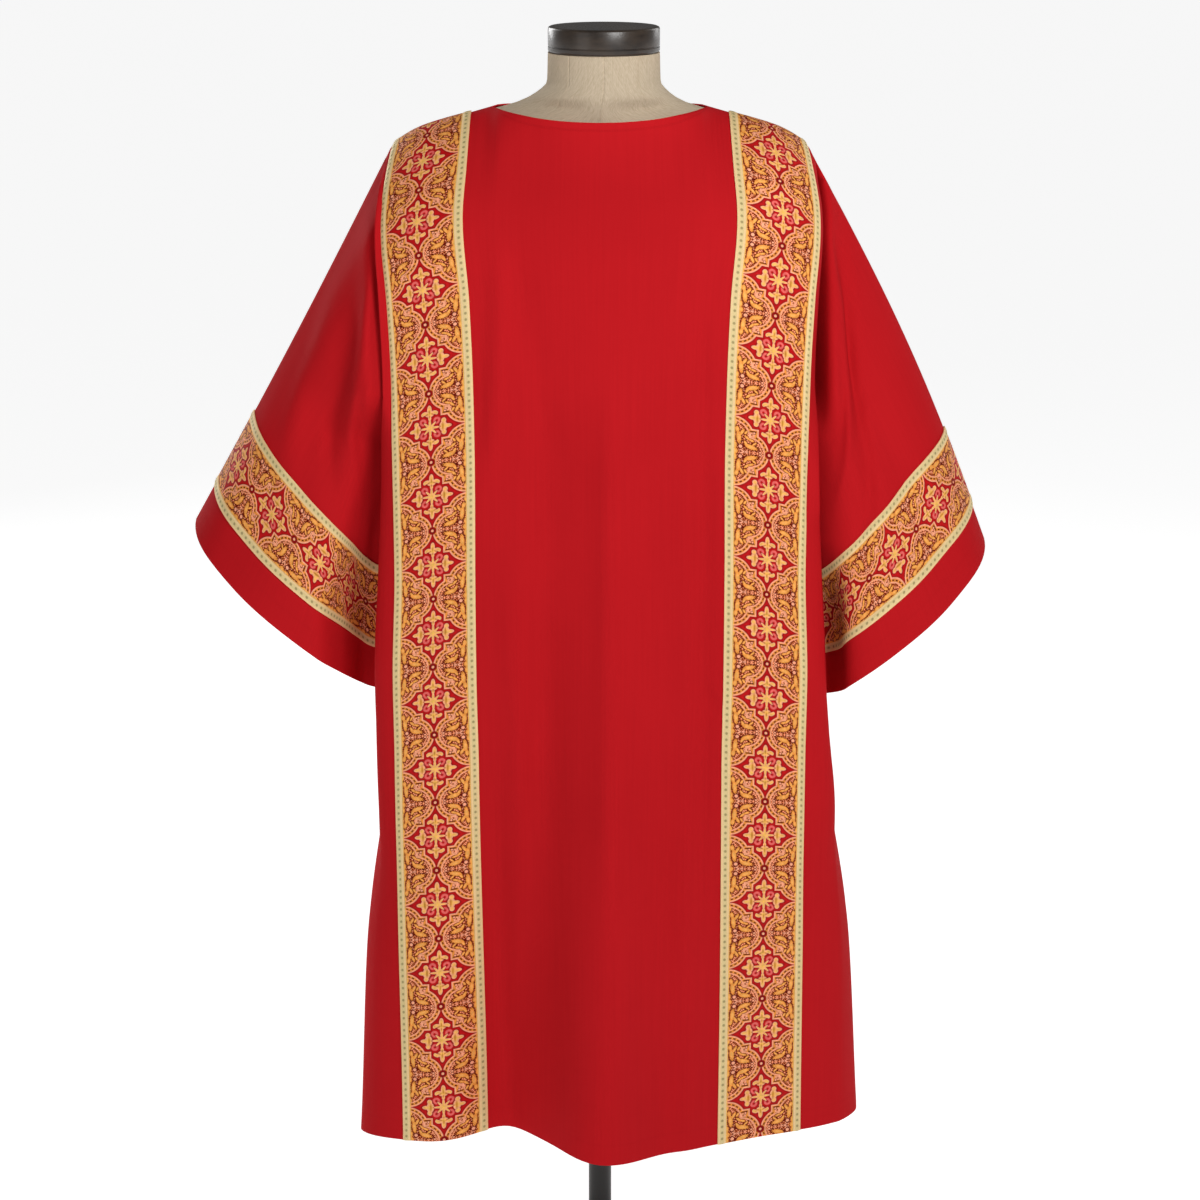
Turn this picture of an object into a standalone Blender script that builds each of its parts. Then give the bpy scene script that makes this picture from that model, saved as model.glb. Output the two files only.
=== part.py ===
"""A dalmatic on a dress form.

The garment hangs open and hollow on a limbless form: a front and a back panel
joined at the shoulders and sides, two wide sleeves set into long armholes, a
patterned band over each shoulder from hem to hem, a patterned band round each
sleeve, and a narrow braid along both edges of every band.

Metres, +Z up, the garment's front faces -Y, origin on the floor under the pole.
Each cloth piece is a grid of points worked out from the tables below, given its
thickness by Solidify. What lies on a panel is made from the panel's own points.
"""

import math

import bmesh
import bpy
import numpy as np

# ---------------------------------------------------------------- sizes
SEAM_GAP = 0.0003
PANEL_WALL = 0.0016
BAND_WALL = 0.0012
BRAID_WALL = 0.0018

HEM_HEIGHT = 0.2165
NECK_HALF_WIDTH = 0.124
NECK_POINT_HEIGHT = 1.4604
NECKLINE = {
    "front": {"height": 1.4500, "reach": 0.085},
    "back": {"height": 1.4560, "reach": 0.072},
}

# Across a panel, measured on the cloth from its centre line.
BAND_INNER = 0.150
BRAID_WIDTH = 0.010
BAND_WIDTH = 0.100
BAND_OUTER = BAND_INNER + BAND_WIDTH

# Cloth between a band's outer edge and the seam, at the hem.
MARGIN_WIDTH = 0.080
# From the sleeve's edge up to its band.
CUFF_MARGIN = 0.050

ARCH_HEIGHT = 0.160  # how far below the shoulder line the cloth turns fully down
ACROSS_STEPS = (0.0, 0.040, 0.080, 0.105, NECK_HALF_WIDTH, BAND_INNER)
BAND_STEPS = 2
MARGIN_STEPS = 6
# Rows of a panel, as the drop from the neckline at the centre line.
DROPS = (
    0.0, 0.008, 0.020, 0.036, 0.056, 0.082, 0.114, 0.152, 0.196, 0.240,
    0.284, 0.328, 0.372, 0.410, 0.446, 0.488, 0.533, 0.583, 0.638, 0.698,
    0.763, 0.833, 0.903, 0.973, 1.043, 1.108, 1.173, 1.235,
)
UNDERARM_ROW = 14

# The shoulder line, from the neck point out to the top of the armhole.
SHOULDER_LINE = (
    # across     x       z
    (0.124, 0.1240, 1.4604),
    (0.150, 0.1500, 1.4530),
    (0.178, 0.1770, 1.4458),
    (0.210, 0.2080, 1.4358),
    (0.231, 0.2266, 1.4262),
    (0.250, 0.2395, 1.4165),
    (0.262, 0.2462, 1.4070),
    (0.272, 0.2515, 1.3990),
)

# Level sections of one half of the front, at rising distance across the cloth:
# the centre line, both edges of the band, the fold that stands out beside the
# band, and the tuck behind it. "out" is the distance in front of the side plane.
FRONT = (
    # z     mid_out inner_x inner_out outer_x outer_out edge_x edge_out tuck_x tuck_out
    (1.46, 0.085, 0.152, 0.072, 0.243, 0.052, 0.252, 0.036, 0.253, 0.020),
    (1.40, 0.110, 0.155, 0.102, 0.252, 0.070, 0.261, 0.052, 0.259, 0.032),
    (1.35, 0.128, 0.158, 0.120, 0.256, 0.088, 0.266, 0.070, 0.261, 0.050),
    (1.25, 0.146, 0.150, 0.138, 0.247, 0.111, 0.258, 0.092, 0.251, 0.071),
    (1.15, 0.152, 0.146, 0.144, 0.242, 0.119, 0.254, 0.100, 0.244, 0.078),
    (1.05, 0.154, 0.1445, 0.146, 0.2405, 0.122, 0.255, 0.103, 0.239, 0.078),
    (0.93, 0.156, 0.145, 0.147, 0.2395, 0.124, 0.260, 0.103, 0.228, 0.066),
    (0.80, 0.158, 0.1445, 0.147, 0.243, 0.124, 0.266, 0.101, 0.226, 0.058),
    (0.70, 0.160, 0.143, 0.146, 0.242, 0.121, 0.265, 0.096, 0.245, 0.052),
    (0.586, 0.162, 0.143, 0.143, 0.242, 0.115, 0.264, 0.087, 0.267, 0.042),
    (0.45, 0.164, 0.143, 0.138, 0.2435, 0.108, 0.277, 0.076, 0.287, 0.036),
    (0.2165, 0.167, 0.142, 0.127, 0.245, 0.094, 0.288, 0.058, 0.302, 0.026),
)
BACK = (
    (1.46, 0.072, 0.152, 0.066, 0.243, 0.046, 0.252, 0.034, 0.253, 0.020),
    (1.40, 0.106, 0.155, 0.098, 0.252, 0.066, 0.261, 0.050, 0.259, 0.032),
    (1.35, 0.126, 0.157, 0.118, 0.254, 0.084, 0.265, 0.066, 0.260, 0.048),
    (1.25, 0.144, 0.151, 0.136, 0.249, 0.106, 0.260, 0.088, 0.252, 0.068),
    (1.15, 0.150, 0.148, 0.142, 0.245, 0.115, 0.257, 0.096, 0.245, 0.075),
    (1.05, 0.152, 0.147, 0.144, 0.243, 0.119, 0.257, 0.099, 0.239, 0.075),
    (0.93, 0.154, 0.146, 0.146, 0.242, 0.122, 0.260, 0.100, 0.228, 0.064),
    (0.80, 0.158, 0.146, 0.149, 0.243, 0.124, 0.265, 0.100, 0.226, 0.056),
    (0.70, 0.162, 0.145, 0.152, 0.243, 0.125, 0.265, 0.098, 0.245, 0.051),
    (0.586, 0.167, 0.145, 0.155, 0.243, 0.124, 0.266, 0.093, 0.268, 0.043),
    (0.45, 0.172, 0.144, 0.157, 0.244, 0.122, 0.277, 0.085, 0.289, 0.038),
    (0.2165, 0.180, 0.143, 0.160, 0.246, 0.122, 0.290, 0.076, 0.303, 0.032),
)
# The seam that closes a panel: the armhole down to the underarm, then the side.
SEAM = (
    # z       x     front_out back_out
    (1.399, 0.2515, 0.000, 0.000),
    (1.380, 0.2520, 0.014, 0.014),
    (1.350, 0.2500, 0.033, 0.032),
    (1.300, 0.2460, 0.052, 0.050),
    (1.250, 0.2415, 0.061, 0.058),
    (1.150, 0.2340, 0.067, 0.064),
    (1.050, 0.2270, 0.060, 0.058),
    (1.000, 0.2210, 0.043, 0.042),
    (0.977, 0.2170, 0.000, 0.000),
    (0.930, 0.2120, 0.000, 0.000),
    (0.800, 0.2100, 0.000, 0.000),
    (0.700, 0.2340, 0.000, 0.000),
    (0.586, 0.2640, 0.000, 0.000),
    (0.450, 0.2870, 0.000, 0.000),
    (0.2165, 0.3030, 0.000, 0.000),
)
# Soft folds: where across the cloth (negative to the wearer's right), how wide,
# from which height they start to which they are full, and how far they stand out.
FRONT_FOLDS = (
    # across  width  start  full   out
    (0.010, 0.060, 1.00, 0.28, 0.020),
    (-0.120, 0.055, 0.86, 0.24, -0.060),
    (-0.060, 0.030, 1.34, 1.00, -0.005),
    (0.075, 0.035, 1.20, 0.70, -0.007),
    (-0.205, 0.040, 0.90, 0.40, 0.006),
    (0.205, 0.045, 0.80, 0.40, -0.006),
)
BACK_FOLDS = (
    (0.000, 0.060, 1.20, 0.40, -0.022),
    (-0.105, 0.050, 1.05, 0.35, 0.016),
    (0.110, 0.050, 1.10, 0.30, 0.018),
    (-0.215, 0.045, 0.90, 0.35, -0.014),
    (0.220, 0.045, 0.85, 0.35, -0.012),
)
# How much higher the hem hangs, across the cloth from the wearer's right to left.
HEM_RISE = (
    # across  rise
    (-0.330, 0.000),
    (-0.230, 0.013),
    (-0.130, 0.015),
    (-0.060, 0.008),
    (0.000, 0.000),
    (0.080, -0.005),
    (0.330, -0.004),
)
# Towards the hem the skirt is turned a little (metres back for each metre to the
# left) and its right side is drawn in by this share of its width.
HEM_TURN = 0.15
HEM_TURN_START = 0.70
HEM_DRAWN_IN = 0.033
# From the hip down the left side stands out wider, beyond this share of the way
# from the band to the seam.
LEFT_SIDE_WIDER = 0.017
WIDER_SHARE = 1 / 3
WIDER_START = 0.84
WIDER_FULL = 0.62

SLEEVES = {
    # tip: the outer fold's end. bottom: the edge's lowest point. deep: half the
    # opening front to back. square: the power of the opening's rounded outline.
    # sag: how far its front and back hang below the straight line from tip to
    # bottom. bow: how far the outer fold bends out half way.
    "right": {"side": -1, "tip": (0.4835, 0.967), "bottom": (0.2420, 0.774),
              "deep": 0.115, "square": 2.4, "sag": 0.026, "bow": -0.003},
    "left": {"side": 1, "tip": (0.4605, 0.943), "bottom": (0.2430, 0.766),
             "deep": 0.115, "square": 2.4, "sag": 0.024, "bow": 0.013},
}
CUFF_ROWS = (0.0, CUFF_MARGIN / 2)
UPPER_SLEEVE_ROWS = 7
# Under the arm the sleeve stands this far out from the body's side, between
# these angles from the underarm fold.
UNDERARM_SPREAD = 0.009
UNDERARM_FULL = 70.0
UNDERARM_END = 130.0
# How far round from the outer fold its bow reaches, in radians.
BOW_REACH = 0.5
# How steeply a sleeve that folds back on the panel is lifted clear of it.
FOLD_BACK = 1.6
# Soft folds of a sleeve: the angle round it from the outer fold towards the
# front, how wide, and how far they stand out.
SLEEVE_FOLDS = (
    # angle width  out
    (52.0, 16.0, -0.007),
    (92.0, 22.0, 0.008),
    (300.0, 20.0, -0.007),
    (262.0, 22.0, 0.008),
)

# The dress form, as level sections: half its width, and how far it reaches
# forward and back from the side plane.
FORM_SECTIONS = (
    # z      half_x  front  back  square
    (0.7400, 0.150, 0.098, 0.108, 2.3),
    (0.7600, 0.164, 0.108, 0.118, 2.3),
    (0.8200, 0.174, 0.112, 0.124, 2.3),
    (0.9000, 0.166, 0.106, 0.112, 2.3),
    (1.0000, 0.150, 0.098, 0.092, 2.2),
    (1.0800, 0.156, 0.103, 0.092, 2.2),
    (1.1700, 0.176, 0.115, 0.106, 2.3),
    (1.2500, 0.188, 0.118, 0.114, 2.4),
    (1.3200, 0.194, 0.108, 0.112, 2.5),
    (1.3700, 0.198, 0.095, 0.100, 2.5),
    (1.4000, 0.200, 0.084, 0.084, 2.3),
    (1.4200, 0.199, 0.074, 0.074, 1.9),
    (1.4350, 0.196, 0.067, 0.067, 1.5),
    (1.4405, 0.190, 0.065, 0.065, 1.35),
    (1.4443, 0.177, 0.063, 0.063, 1.35),
    (1.4515, 0.150, 0.061, 0.061, 1.3),
    (1.4588, 0.122, 0.061, 0.060, 1.2),
    (1.4660, 0.098, 0.060, 0.059, 1.4),
    (1.4760, 0.079, 0.060, 0.058, 2.0),
    (1.4900, 0.0665, 0.060, 0.058, 2.0),
    (1.5235, 0.0655, 0.062, 0.060, 2.0),
)
FORM_STEPS_AROUND = 40
# The neck stands a little to the left of the shoulders' middle.
NECK_SHIFT = 0.0045
NECK_SHIFT_START = 1.4515
NECK_SHIFT_FULL = 1.4900

CAP_RADIUS = 0.0655
CAP_HEIGHT = 0.030
CAP_EDGE = 0.003
POLE_RADIUS = 0.014
# The base's turned profiles, from the top down the outer side.
DISC_PROFILE = (
    # radius height
    (0.0400, 0.0230),
    (0.1850, 0.0140),
    (0.1980, 0.0100),
    (0.2000, 0.0060),
    (0.2000, 0.0000),
)
HUB_PROFILE = (
    # radius height above the disc
    (0.0220, 0.0290),
    (0.0240, 0.0260),
    (0.0260, 0.0090),
    (0.0360, 0.0020),
    (0.0360, 0.0000),
)
ROUND_STEPS = 36

RED = (0.42, 0.012, 0.018, 1.0)
BROCADE = (0.62, 0.20, 0.06, 1.0)
GOLD = (0.78, 0.62, 0.28, 1.0)
LINEN = (0.60, 0.48, 0.34, 1.0)
DARK_WOOD = (0.035, 0.022, 0.015, 1.0)


# ---------------------------------------------------------------- curves
def smooth_through(knots, values, at):
    """Values at the places asked for, on a smooth curve that never overshoots."""
    knots = np.asarray(knots, float)
    values = np.asarray(values, float)
    if knots[0] > knots[-1]:
        knots, values = knots[::-1], values[::-1]
    gaps = np.diff(knots)
    slopes = np.diff(values, axis=0) / gaps.reshape((-1,) + (1,) * (values.ndim - 1))
    tangents = np.zeros_like(values)
    tangents[0], tangents[-1] = slopes[0], slopes[-1]
    before, after = slopes[:-1], slopes[1:]
    same_way = before * after > 0
    mean = 2 * before * after / np.where(same_way, before + after, 1.0)
    tangents[1:-1] = np.where(same_way, mean, 0.0)
    at = np.clip(np.asarray(at, float), knots[0], knots[-1])
    i = np.clip(np.searchsorted(knots, at) - 1, 0, len(gaps) - 1)
    t = ((at - knots[i]) / gaps[i]).reshape(at.shape + (1,) * (values.ndim - 1))
    span = gaps[i].reshape(t.shape)
    return (
        values[i] * (1 + 2 * t) * (1 - t) ** 2
        + tangents[i] * span * t * (1 - t) ** 2
        + values[i + 1] * t**2 * (3 - 2 * t)
        + tangents[i + 1] * span * t**2 * (t - 1)
    )


def eased(value, start, end):
    """0 at start, 1 at end, and smooth between; start may be above end."""
    t = np.clip((value - start) / (end - start), 0.0, 1.0)
    return t * t * (3 - 2 * t)


def table_at(table, height):
    """The row of a section table at this height."""
    rows = np.array(table, float)
    return smooth_through(rows[:, 0], rows[:, 1:], np.array(height))


def unit(vectors):
    return vectors / np.linalg.norm(vectors, axis=-1, keepdims=True)


def grid_normals(points):
    """Normals of a grid of points, turned so that row x column faces outward."""
    down = np.gradient(points, axis=0)
    across = np.gradient(points, axis=1)
    return unit(np.cross(down, across))


# ---------------------------------------------------------------- body panels
def across_columns():
    """Places across one half panel, up to the band's outer edge."""
    inside = np.linspace(BAND_INNER + BRAID_WIDTH, BAND_OUTER - BRAID_WIDTH, BAND_STEPS + 1)
    return np.array([*ACROSS_STEPS, *inside, BAND_OUTER])


def panel_top(face, across):
    """The neckline's or the shoulder line's point at this place across the cloth."""
    if across >= NECK_HALF_WIDTH:
        rows = np.array(SHOULDER_LINE)
        x, z = smooth_through(rows[:, 0], rows[:, 1:], np.array(across))
        return x, 0.0, z
    share = across / NECK_HALF_WIDTH
    neck = NECKLINE[face]
    rise = NECK_POINT_HEIGHT - neck["height"]
    return across, neck["reach"] * math.sqrt(1 - share**2), neck["height"] + rise * share**2


def fold_out(folds, across, height):
    """How far the folds move the cloth out at this place."""
    out = 0.0
    for place, width, start, full, depth in folds:
        out += depth * eased(height, start, full) * math.exp(-(((across - place) / width) ** 2))
    return out


def half_panel_point(face, side, across, margin, drop):
    """A point of the panel. margin is 0 up to the band's outer edge, and then
    the share of the way from there to the seam."""
    table = FRONT if face == "front" else BACK
    folds = FRONT_FOLDS if face == "front" else BACK_FOLDS
    last = SHOULDER_LINE[-1][0]
    place = across + margin * (last - BAND_OUTER)
    top_x, top_out, top_z = panel_top(face, place)
    share = drop / DROPS[-1]
    rises = np.array(HEM_RISE)
    rise = smooth_through(rises[:, 0], rises[:, 1], np.array(side * (across + margin * MARGIN_WIDTH)))
    z = top_z + share * (HEM_HEIGHT + rise - top_z)

    mid, in_x, in_out, out_x, out_out, edge_x, edge_out, tuck_x, tuck_out = table_at(table, z)
    seam_x, seam_front, seam_back = table_at(SEAM, z)
    seam_out = seam_front if face == "front" else seam_back
    knots_xy = np.array([
        (-in_x, in_out), (0.0, mid), (in_x, in_out), (out_x, out_out),
        (edge_x, edge_out), (tuck_x, tuck_out), (seam_x, seam_out),
    ])
    steps = np.linalg.norm(np.diff(knots_xy[3:], axis=0), axis=1)
    knots_at = np.array([-BAND_INNER, 0.0, BAND_INNER, BAND_OUTER, *(BAND_OUTER + np.cumsum(steps))])
    at = across + margin * steps.sum()
    x, out = smooth_through(knots_at, knots_xy, np.array(at))

    h = min((top_z - z) / ARCH_HEIGHT, 1.0)
    sloping = math.sin(h * math.pi / 2)
    arched = math.sqrt(1 - (1 - h) ** 2)
    arch = eased(place, NECK_HALF_WIDTH / 2, NECK_HALF_WIDTH)
    down = sloping + arch * (arched - sloping)
    out = top_out + (out - top_out) * down
    x = top_x + (x - top_x) * down
    out += fold_out(folds, side * at, z) * (1 - margin) * down

    turned = eased(z, HEM_TURN_START, HEM_HEIGHT)
    if side < 0:
        x *= 1 - HEM_DRAWN_IN * turned * min(1.0, across / BAND_INNER)
    else:
        x += LEFT_SIDE_WIDER * min(1.0, margin / WIDER_SHARE) * eased(z, WIDER_START, WIDER_FULL)
    y = -out if face == "front" else out
    return side * x, y + HEM_TURN * turned * side * x, z


def panel_columns():
    """(side, across, margin) of every column, from the wearer's right to left."""
    half = [(a, 0.0) for a in across_columns()]
    half += [(BAND_OUTER, (i + 1) / MARGIN_STEPS) for i in range(MARGIN_STEPS)]
    return [(-1, a, m) for a, m in reversed(half[1:])] + [(1, a, m) for a, m in half]


def panel_points(face):
    """The panel's grid, rows from the shoulders down, seen from outside."""
    columns = panel_columns()
    grid = np.array([[half_panel_point(face, *c, d) for c in columns] for d in DROPS])
    away = -1 if face == "front" else 1
    apart = SEAM_GAP / 2 + PANEL_WALL / 2 * np.abs(grid_normals(grid)[..., 1])
    at_shoulder = [i for i, (_, across, _) in enumerate(columns) if across >= NECK_HALF_WIDTH]
    grid[0, at_shoulder, 1] += away * apart[0, at_shoulder]
    grid[UNDERARM_ROW:, [0, -1], 1] += away * apart[UNDERARM_ROW:, [0, -1]]
    return grid


def facing_out(points, face):
    """Normals that point away from the wearer."""
    normals = grid_normals(points)
    return -normals if face == "back" else normals


def band_columns(side):
    """The columns of the panel's grid that lie under one band."""
    return [
        i for i, (s, across, margin) in enumerate(panel_columns())
        if s == side and margin == 0.0 and across >= BAND_INNER - 1e-6
    ]


def over_the_shoulder(panels, side, lift):
    """Points from the front hem over the shoulder to the back hem, moved out."""
    columns = band_columns(side)
    halves = []
    for face in ("front", "back"):
        points = panels[face]
        halves.append((points[:, columns], facing_out(points, face)[:, columns]))
    (front, front_normals), (back, back_normals) = halves
    ridge = (front[:1] + back[:1]) / 2
    ridge_normals = unit(front_normals[:1] + back_normals[:1])
    points = np.concatenate([front[:0:-1], ridge, back[1:]])
    normals = np.concatenate([front_normals[:0:-1], ridge_normals, back_normals[1:]])
    return points + normals * lift


def trimmed(points, inner_gap, outer_gap):
    """A strip of points with both of its long edges drawn in."""
    points = points.copy()
    inward = unit(points[:, 1] - points[:, 0])
    outward = unit(points[:, -2] - points[:, -1])
    points[:, 0] += inward * inner_gap
    points[:, -1] += outward * outer_gap
    return points


# ---------------------------------------------------------------- sleeves
def cuff_point(sleeve, angle):
    """A point of the sleeve's edge; angle 0 is the outer fold, 90 the front."""
    (tip_x, tip_z), (low_x, low_z) = sleeve["tip"], sleeve["bottom"]
    power = 2 / sleeve["square"]
    c, s = math.cos(angle), math.sin(angle)
    along = math.copysign(abs(c) ** power, c)
    deep = math.copysign(abs(s) ** power, s)
    x = (tip_x + low_x) / 2 + along * (tip_x - low_x) / 2
    z = (tip_z + low_z) / 2 + along * (tip_z - low_z) / 2 - sleeve["sag"] * abs(deep)
    return np.array([sleeve["side"] * x, -sleeve["deep"] * deep, z])


def armhole_ring(panels, side):
    """The armhole's points from the shoulder by the front and the underarm to the
    back, with the panels' outward normals there."""
    column = -1 if side > 0 else 0
    parts = []
    for grid in (panels, {face: facing_out(panels[face], face) for face in panels}):
        front = grid["front"][: UNDERARM_ROW + 1, column].copy()
        back = grid["back"][: UNDERARM_ROW + 1, column]
        front[[0, -1]] = (front[[0, -1]] + back[[0, -1]]) / 2
        parts.append(np.concatenate([front, back[-2:0:-1]]))
    return parts[0], unit(parts[1])


def ring_tangents(ring):
    return unit(np.roll(ring, -1, axis=0) - np.roll(ring, 1, axis=0))


def square_to(vectors, axes):
    return unit(vectors - (vectors * axes).sum(axis=1, keepdims=True) * axes)


def sewn_to(seam, normals, side, cuff):
    """The sleeve's top edge, set beside the armhole's edge where the cloth runs on,
    and over the armhole's outer face where the sleeve folds back on it."""
    along = ring_tangents(seam)
    normals = square_to(normals, along)
    leaving = np.cross(along, normals)
    if leaving[0, 0] * side < 0:
        leaving = -leaving
    sleeve_way = square_to(cuff - seam, along)
    ahead = (sleeve_way * leaving).sum(axis=1)[:, None]
    outward = (sleeve_way * normals).sum(axis=1)[:, None]
    beside = SEAM_GAP + PANEL_WALL / 2 * np.abs(outward)
    over = (PANEL_WALL + SEAM_GAP) * np.clip(-FOLD_BACK * ahead, 0, 1)
    return seam + leaving * beside + normals * over


def sleeve_points(panels, sleeve):
    """The sleeve's grid: rows from its edge up to the armhole, columns round it
    from the outer fold by the front to the back. The last column is the first."""
    side = sleeve["side"]
    seam, normals = armhole_ring(panels, side)
    walk = np.concatenate([[0], np.cumsum(np.linalg.norm(np.diff(seam, axis=0), axis=1))])
    half = walk[UNDERARM_ROW]
    angles = math.pi * walk / half
    cuff = np.array([cuff_point(sleeve, a) for a in angles])
    seam = sewn_to(seam, normals, side, cuff)

    length = np.linalg.norm(cuff - seam, axis=1)[:, None]
    top_of_band = CUFF_MARGIN + BAND_WIDTH
    inside = np.linspace(CUFF_MARGIN + BRAID_WIDTH, top_of_band - BRAID_WIDTH, BAND_STEPS + 1)
    fixed = [*CUFF_ROWS, CUFF_MARGIN, *inside, top_of_band]
    rows = [np.full_like(length, d) for d in fixed]
    rows += [
        top_of_band + (length - top_of_band) * (i + 1) / UPPER_SLEEVE_ROWS
        for i in range(UPPER_SLEEVE_ROWS)
    ]
    share = np.array([row / length for row in rows])
    grid = cuff + (seam - cuff) * share

    belly = np.sin(np.pi * np.clip(share, 0, 1))
    outer = np.array([math.exp(-((min(a, 2 * math.pi - a) / BOW_REACH) ** 2)) for a in angles])
    grid[..., 0] += side * sleeve["bow"] * belly[..., 0] * outer
    under = eased(np.abs(np.degrees(angles) - 180), UNDERARM_END, UNDERARM_FULL)
    below_seam = eased(share[..., 0], 1.0, 0.93) * eased(share[..., 0], 0.0, 0.5)
    grid[..., 0] += side * UNDERARM_SPREAD * under * below_seam
    folds = np.zeros(len(angles))
    for place, width, out in SLEEVE_FOLDS:
        folds += out * np.exp(-(((np.degrees(angles) - place) / width) ** 2))
    settled = eased(share, 1.0, 0.55) * (0.55 + 0.45 * eased(share, 0.0, 0.35))
    ring = np.concatenate([grid, grid[:, :1]], axis=1)
    normals = grid_normals(ring)[:, :-1]
    if (normals[0, 0, 0] > 0) != (side > 0):
        normals = -normals
    grid = grid + normals * folds[None, :, None] * settled
    return np.concatenate([grid, grid[:, :1]], axis=1)


def ring_normals(points, side):
    """Outward normals of a closed ring grid whose last column is its first."""
    wrapped = np.concatenate([points[:, -2:-1], points, points[:, 1:2]], axis=1)
    normals = grid_normals(wrapped)[:, 1:-1]
    return normals if (normals[0, 0, 0] > 0) == (side > 0) else -normals


# ---------------------------------------------------------------- meshes
def fresh_scene():
    for obj in list(bpy.data.objects):
        bpy.data.objects.remove(obj, do_unlink=True)
    collection = bpy.data.collections.new("dalmatic_on_dress_form")
    bpy.context.scene.collection.children.link(collection)
    return collection


def finish_of(name, colour, roughness, metallic=0.0):
    material = bpy.data.materials.new(name)
    material.use_nodes = True
    shader = material.node_tree.nodes["Principled BSDF"]
    shader.inputs["Base Color"].default_value = colour
    shader.inputs["Roughness"].default_value = roughness
    shader.inputs["Metallic"].default_value = metallic
    return material


def grid_mesh(points, upward_rows=0):
    """A bmesh grid laid over the points. The first rows may run up the cloth: they
    are cut along the other diagonal, so that every piece is cut as its panel is."""
    rows, columns = points.shape[:2]
    bm = bmesh.new()
    bmesh.ops.create_grid(bm, x_segments=columns - 1, y_segments=rows - 1, size=1.0)
    turn_row = 2 * upward_rows / (rows - 1) - 1
    upward = [face for face in bm.faces if face.calc_center_median().y < turn_row]
    downward = [face for face in bm.faces if face.calc_center_median().y >= turn_row]
    for vert in bm.verts:
        column = round((vert.co.x + 1) / 2 * (columns - 1))
        row = round((vert.co.y + 1) / 2 * (rows - 1))
        vert.co = points[row, column]
    bmesh.ops.triangulate(bm, faces=downward, quad_method="FIXED")
    if upward:
        bmesh.ops.triangulate(bm, faces=upward, quad_method="ALTERNATE")
    return bm


def add_object(collection, name, bm, material):
    mesh = bpy.data.meshes.new(name)
    bm.to_mesh(mesh)
    bm.free()
    mesh.materials.append(material)
    obj = bpy.data.objects.new(name, mesh)
    collection.objects.link(obj)
    return obj


def add_cloth(collection, name, points, wall, material, ring=False, upward_rows=0):
    """A cloth piece: the grid's surface with half its thickness on each side."""
    bm = grid_mesh(points, upward_rows)
    if ring:
        bmesh.ops.remove_doubles(bm, verts=bm.verts[:], dist=1e-6)
    obj = add_object(collection, name, bm, material)
    thickness = obj.modifiers.new("Cloth thickness", "SOLIDIFY")
    thickness.thickness = wall
    thickness.offset = 0.0
    obj.data.shade_smooth()
    return obj


def add_turned(collection, name, profile, material, bottom):
    """A turned piece: its outer profile, closed by a flat bottom and top."""
    bm = bmesh.new()
    points = [(0.0, profile[0][1]), *profile, (0.0, bottom)]
    verts = [bm.verts.new((radius, 0.0, z)) for radius, z in points]
    for a, b in zip(verts, verts[1:]):
        bm.edges.new((a, b))
    obj = add_object(collection, name, bm, material)
    screw = obj.modifiers.new("Turned", "SCREW")
    screw.axis = "Z"
    screw.steps = screw.render_steps = ROUND_STEPS
    screw.use_merge_vertices = True
    screw.merge_threshold = 0.0001
    return obj


# ---------------------------------------------------------------- pieces
def add_panels(collection, cloth):
    panels = {face: panel_points(face) for face in ("front", "back")}
    for face, points in panels.items():
        add_cloth(collection, f"{face}_panel", points, PANEL_WALL, cloth)
    return panels


def add_band(collection, name, strip, braids, band, braid, ring=False, upward_rows=0):
    """A patterned band and its two braids from one strip of lifted points, whose
    first and last columns lie under the braids."""
    half = SEAM_GAP / 2
    for part, columns, wall, material in (
        ("band", slice(1, -1), BAND_WALL, band),
        (braids[0], slice(0, 2), BRAID_WALL, braid),
        (braids[1], slice(-2, None), BRAID_WALL, braid),
    ):
        points = trimmed(strip(wall)[:, columns], half, half)
        add_cloth(collection, f"{name}_{part}", points, wall, material, ring, upward_rows)


def add_body_bands(collection, panels, band, braid):
    for name, side, braids in (
        ("right", -1, ("outer_braid", "inner_braid")),
        ("left", 1, ("inner_braid", "outer_braid")),
    ):
        def strip(wall, side=side):
            return over_the_shoulder(panels, side, (PANEL_WALL + wall) / 2 + SEAM_GAP)
        upward = len(DROPS) - 1
        add_band(collection, f"{name}_body", strip, braids, band, braid, upward_rows=upward)


def add_sleeves(collection, panels, cloth, band, braid):
    for name, sleeve in SLEEVES.items():
        points = sleeve_points(panels, sleeve)
        add_cloth(collection, f"{name}_sleeve", points, PANEL_WALL, cloth, ring=True)
        first = len(CUFF_ROWS)
        rows = slice(first, first + BAND_STEPS + 3)
        normals = ring_normals(points, sleeve["side"])

        def strip(wall, points=points, normals=normals, rows=rows):
            lift = (PANEL_WALL + wall) / 2 + SEAM_GAP
            return (points + normals * lift)[rows].transpose(1, 0, 2)
        braids = ("lower_braid", "upper_braid")
        add_band(collection, f"{name}_sleeve", strip, braids, band, braid, ring=True)


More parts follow.
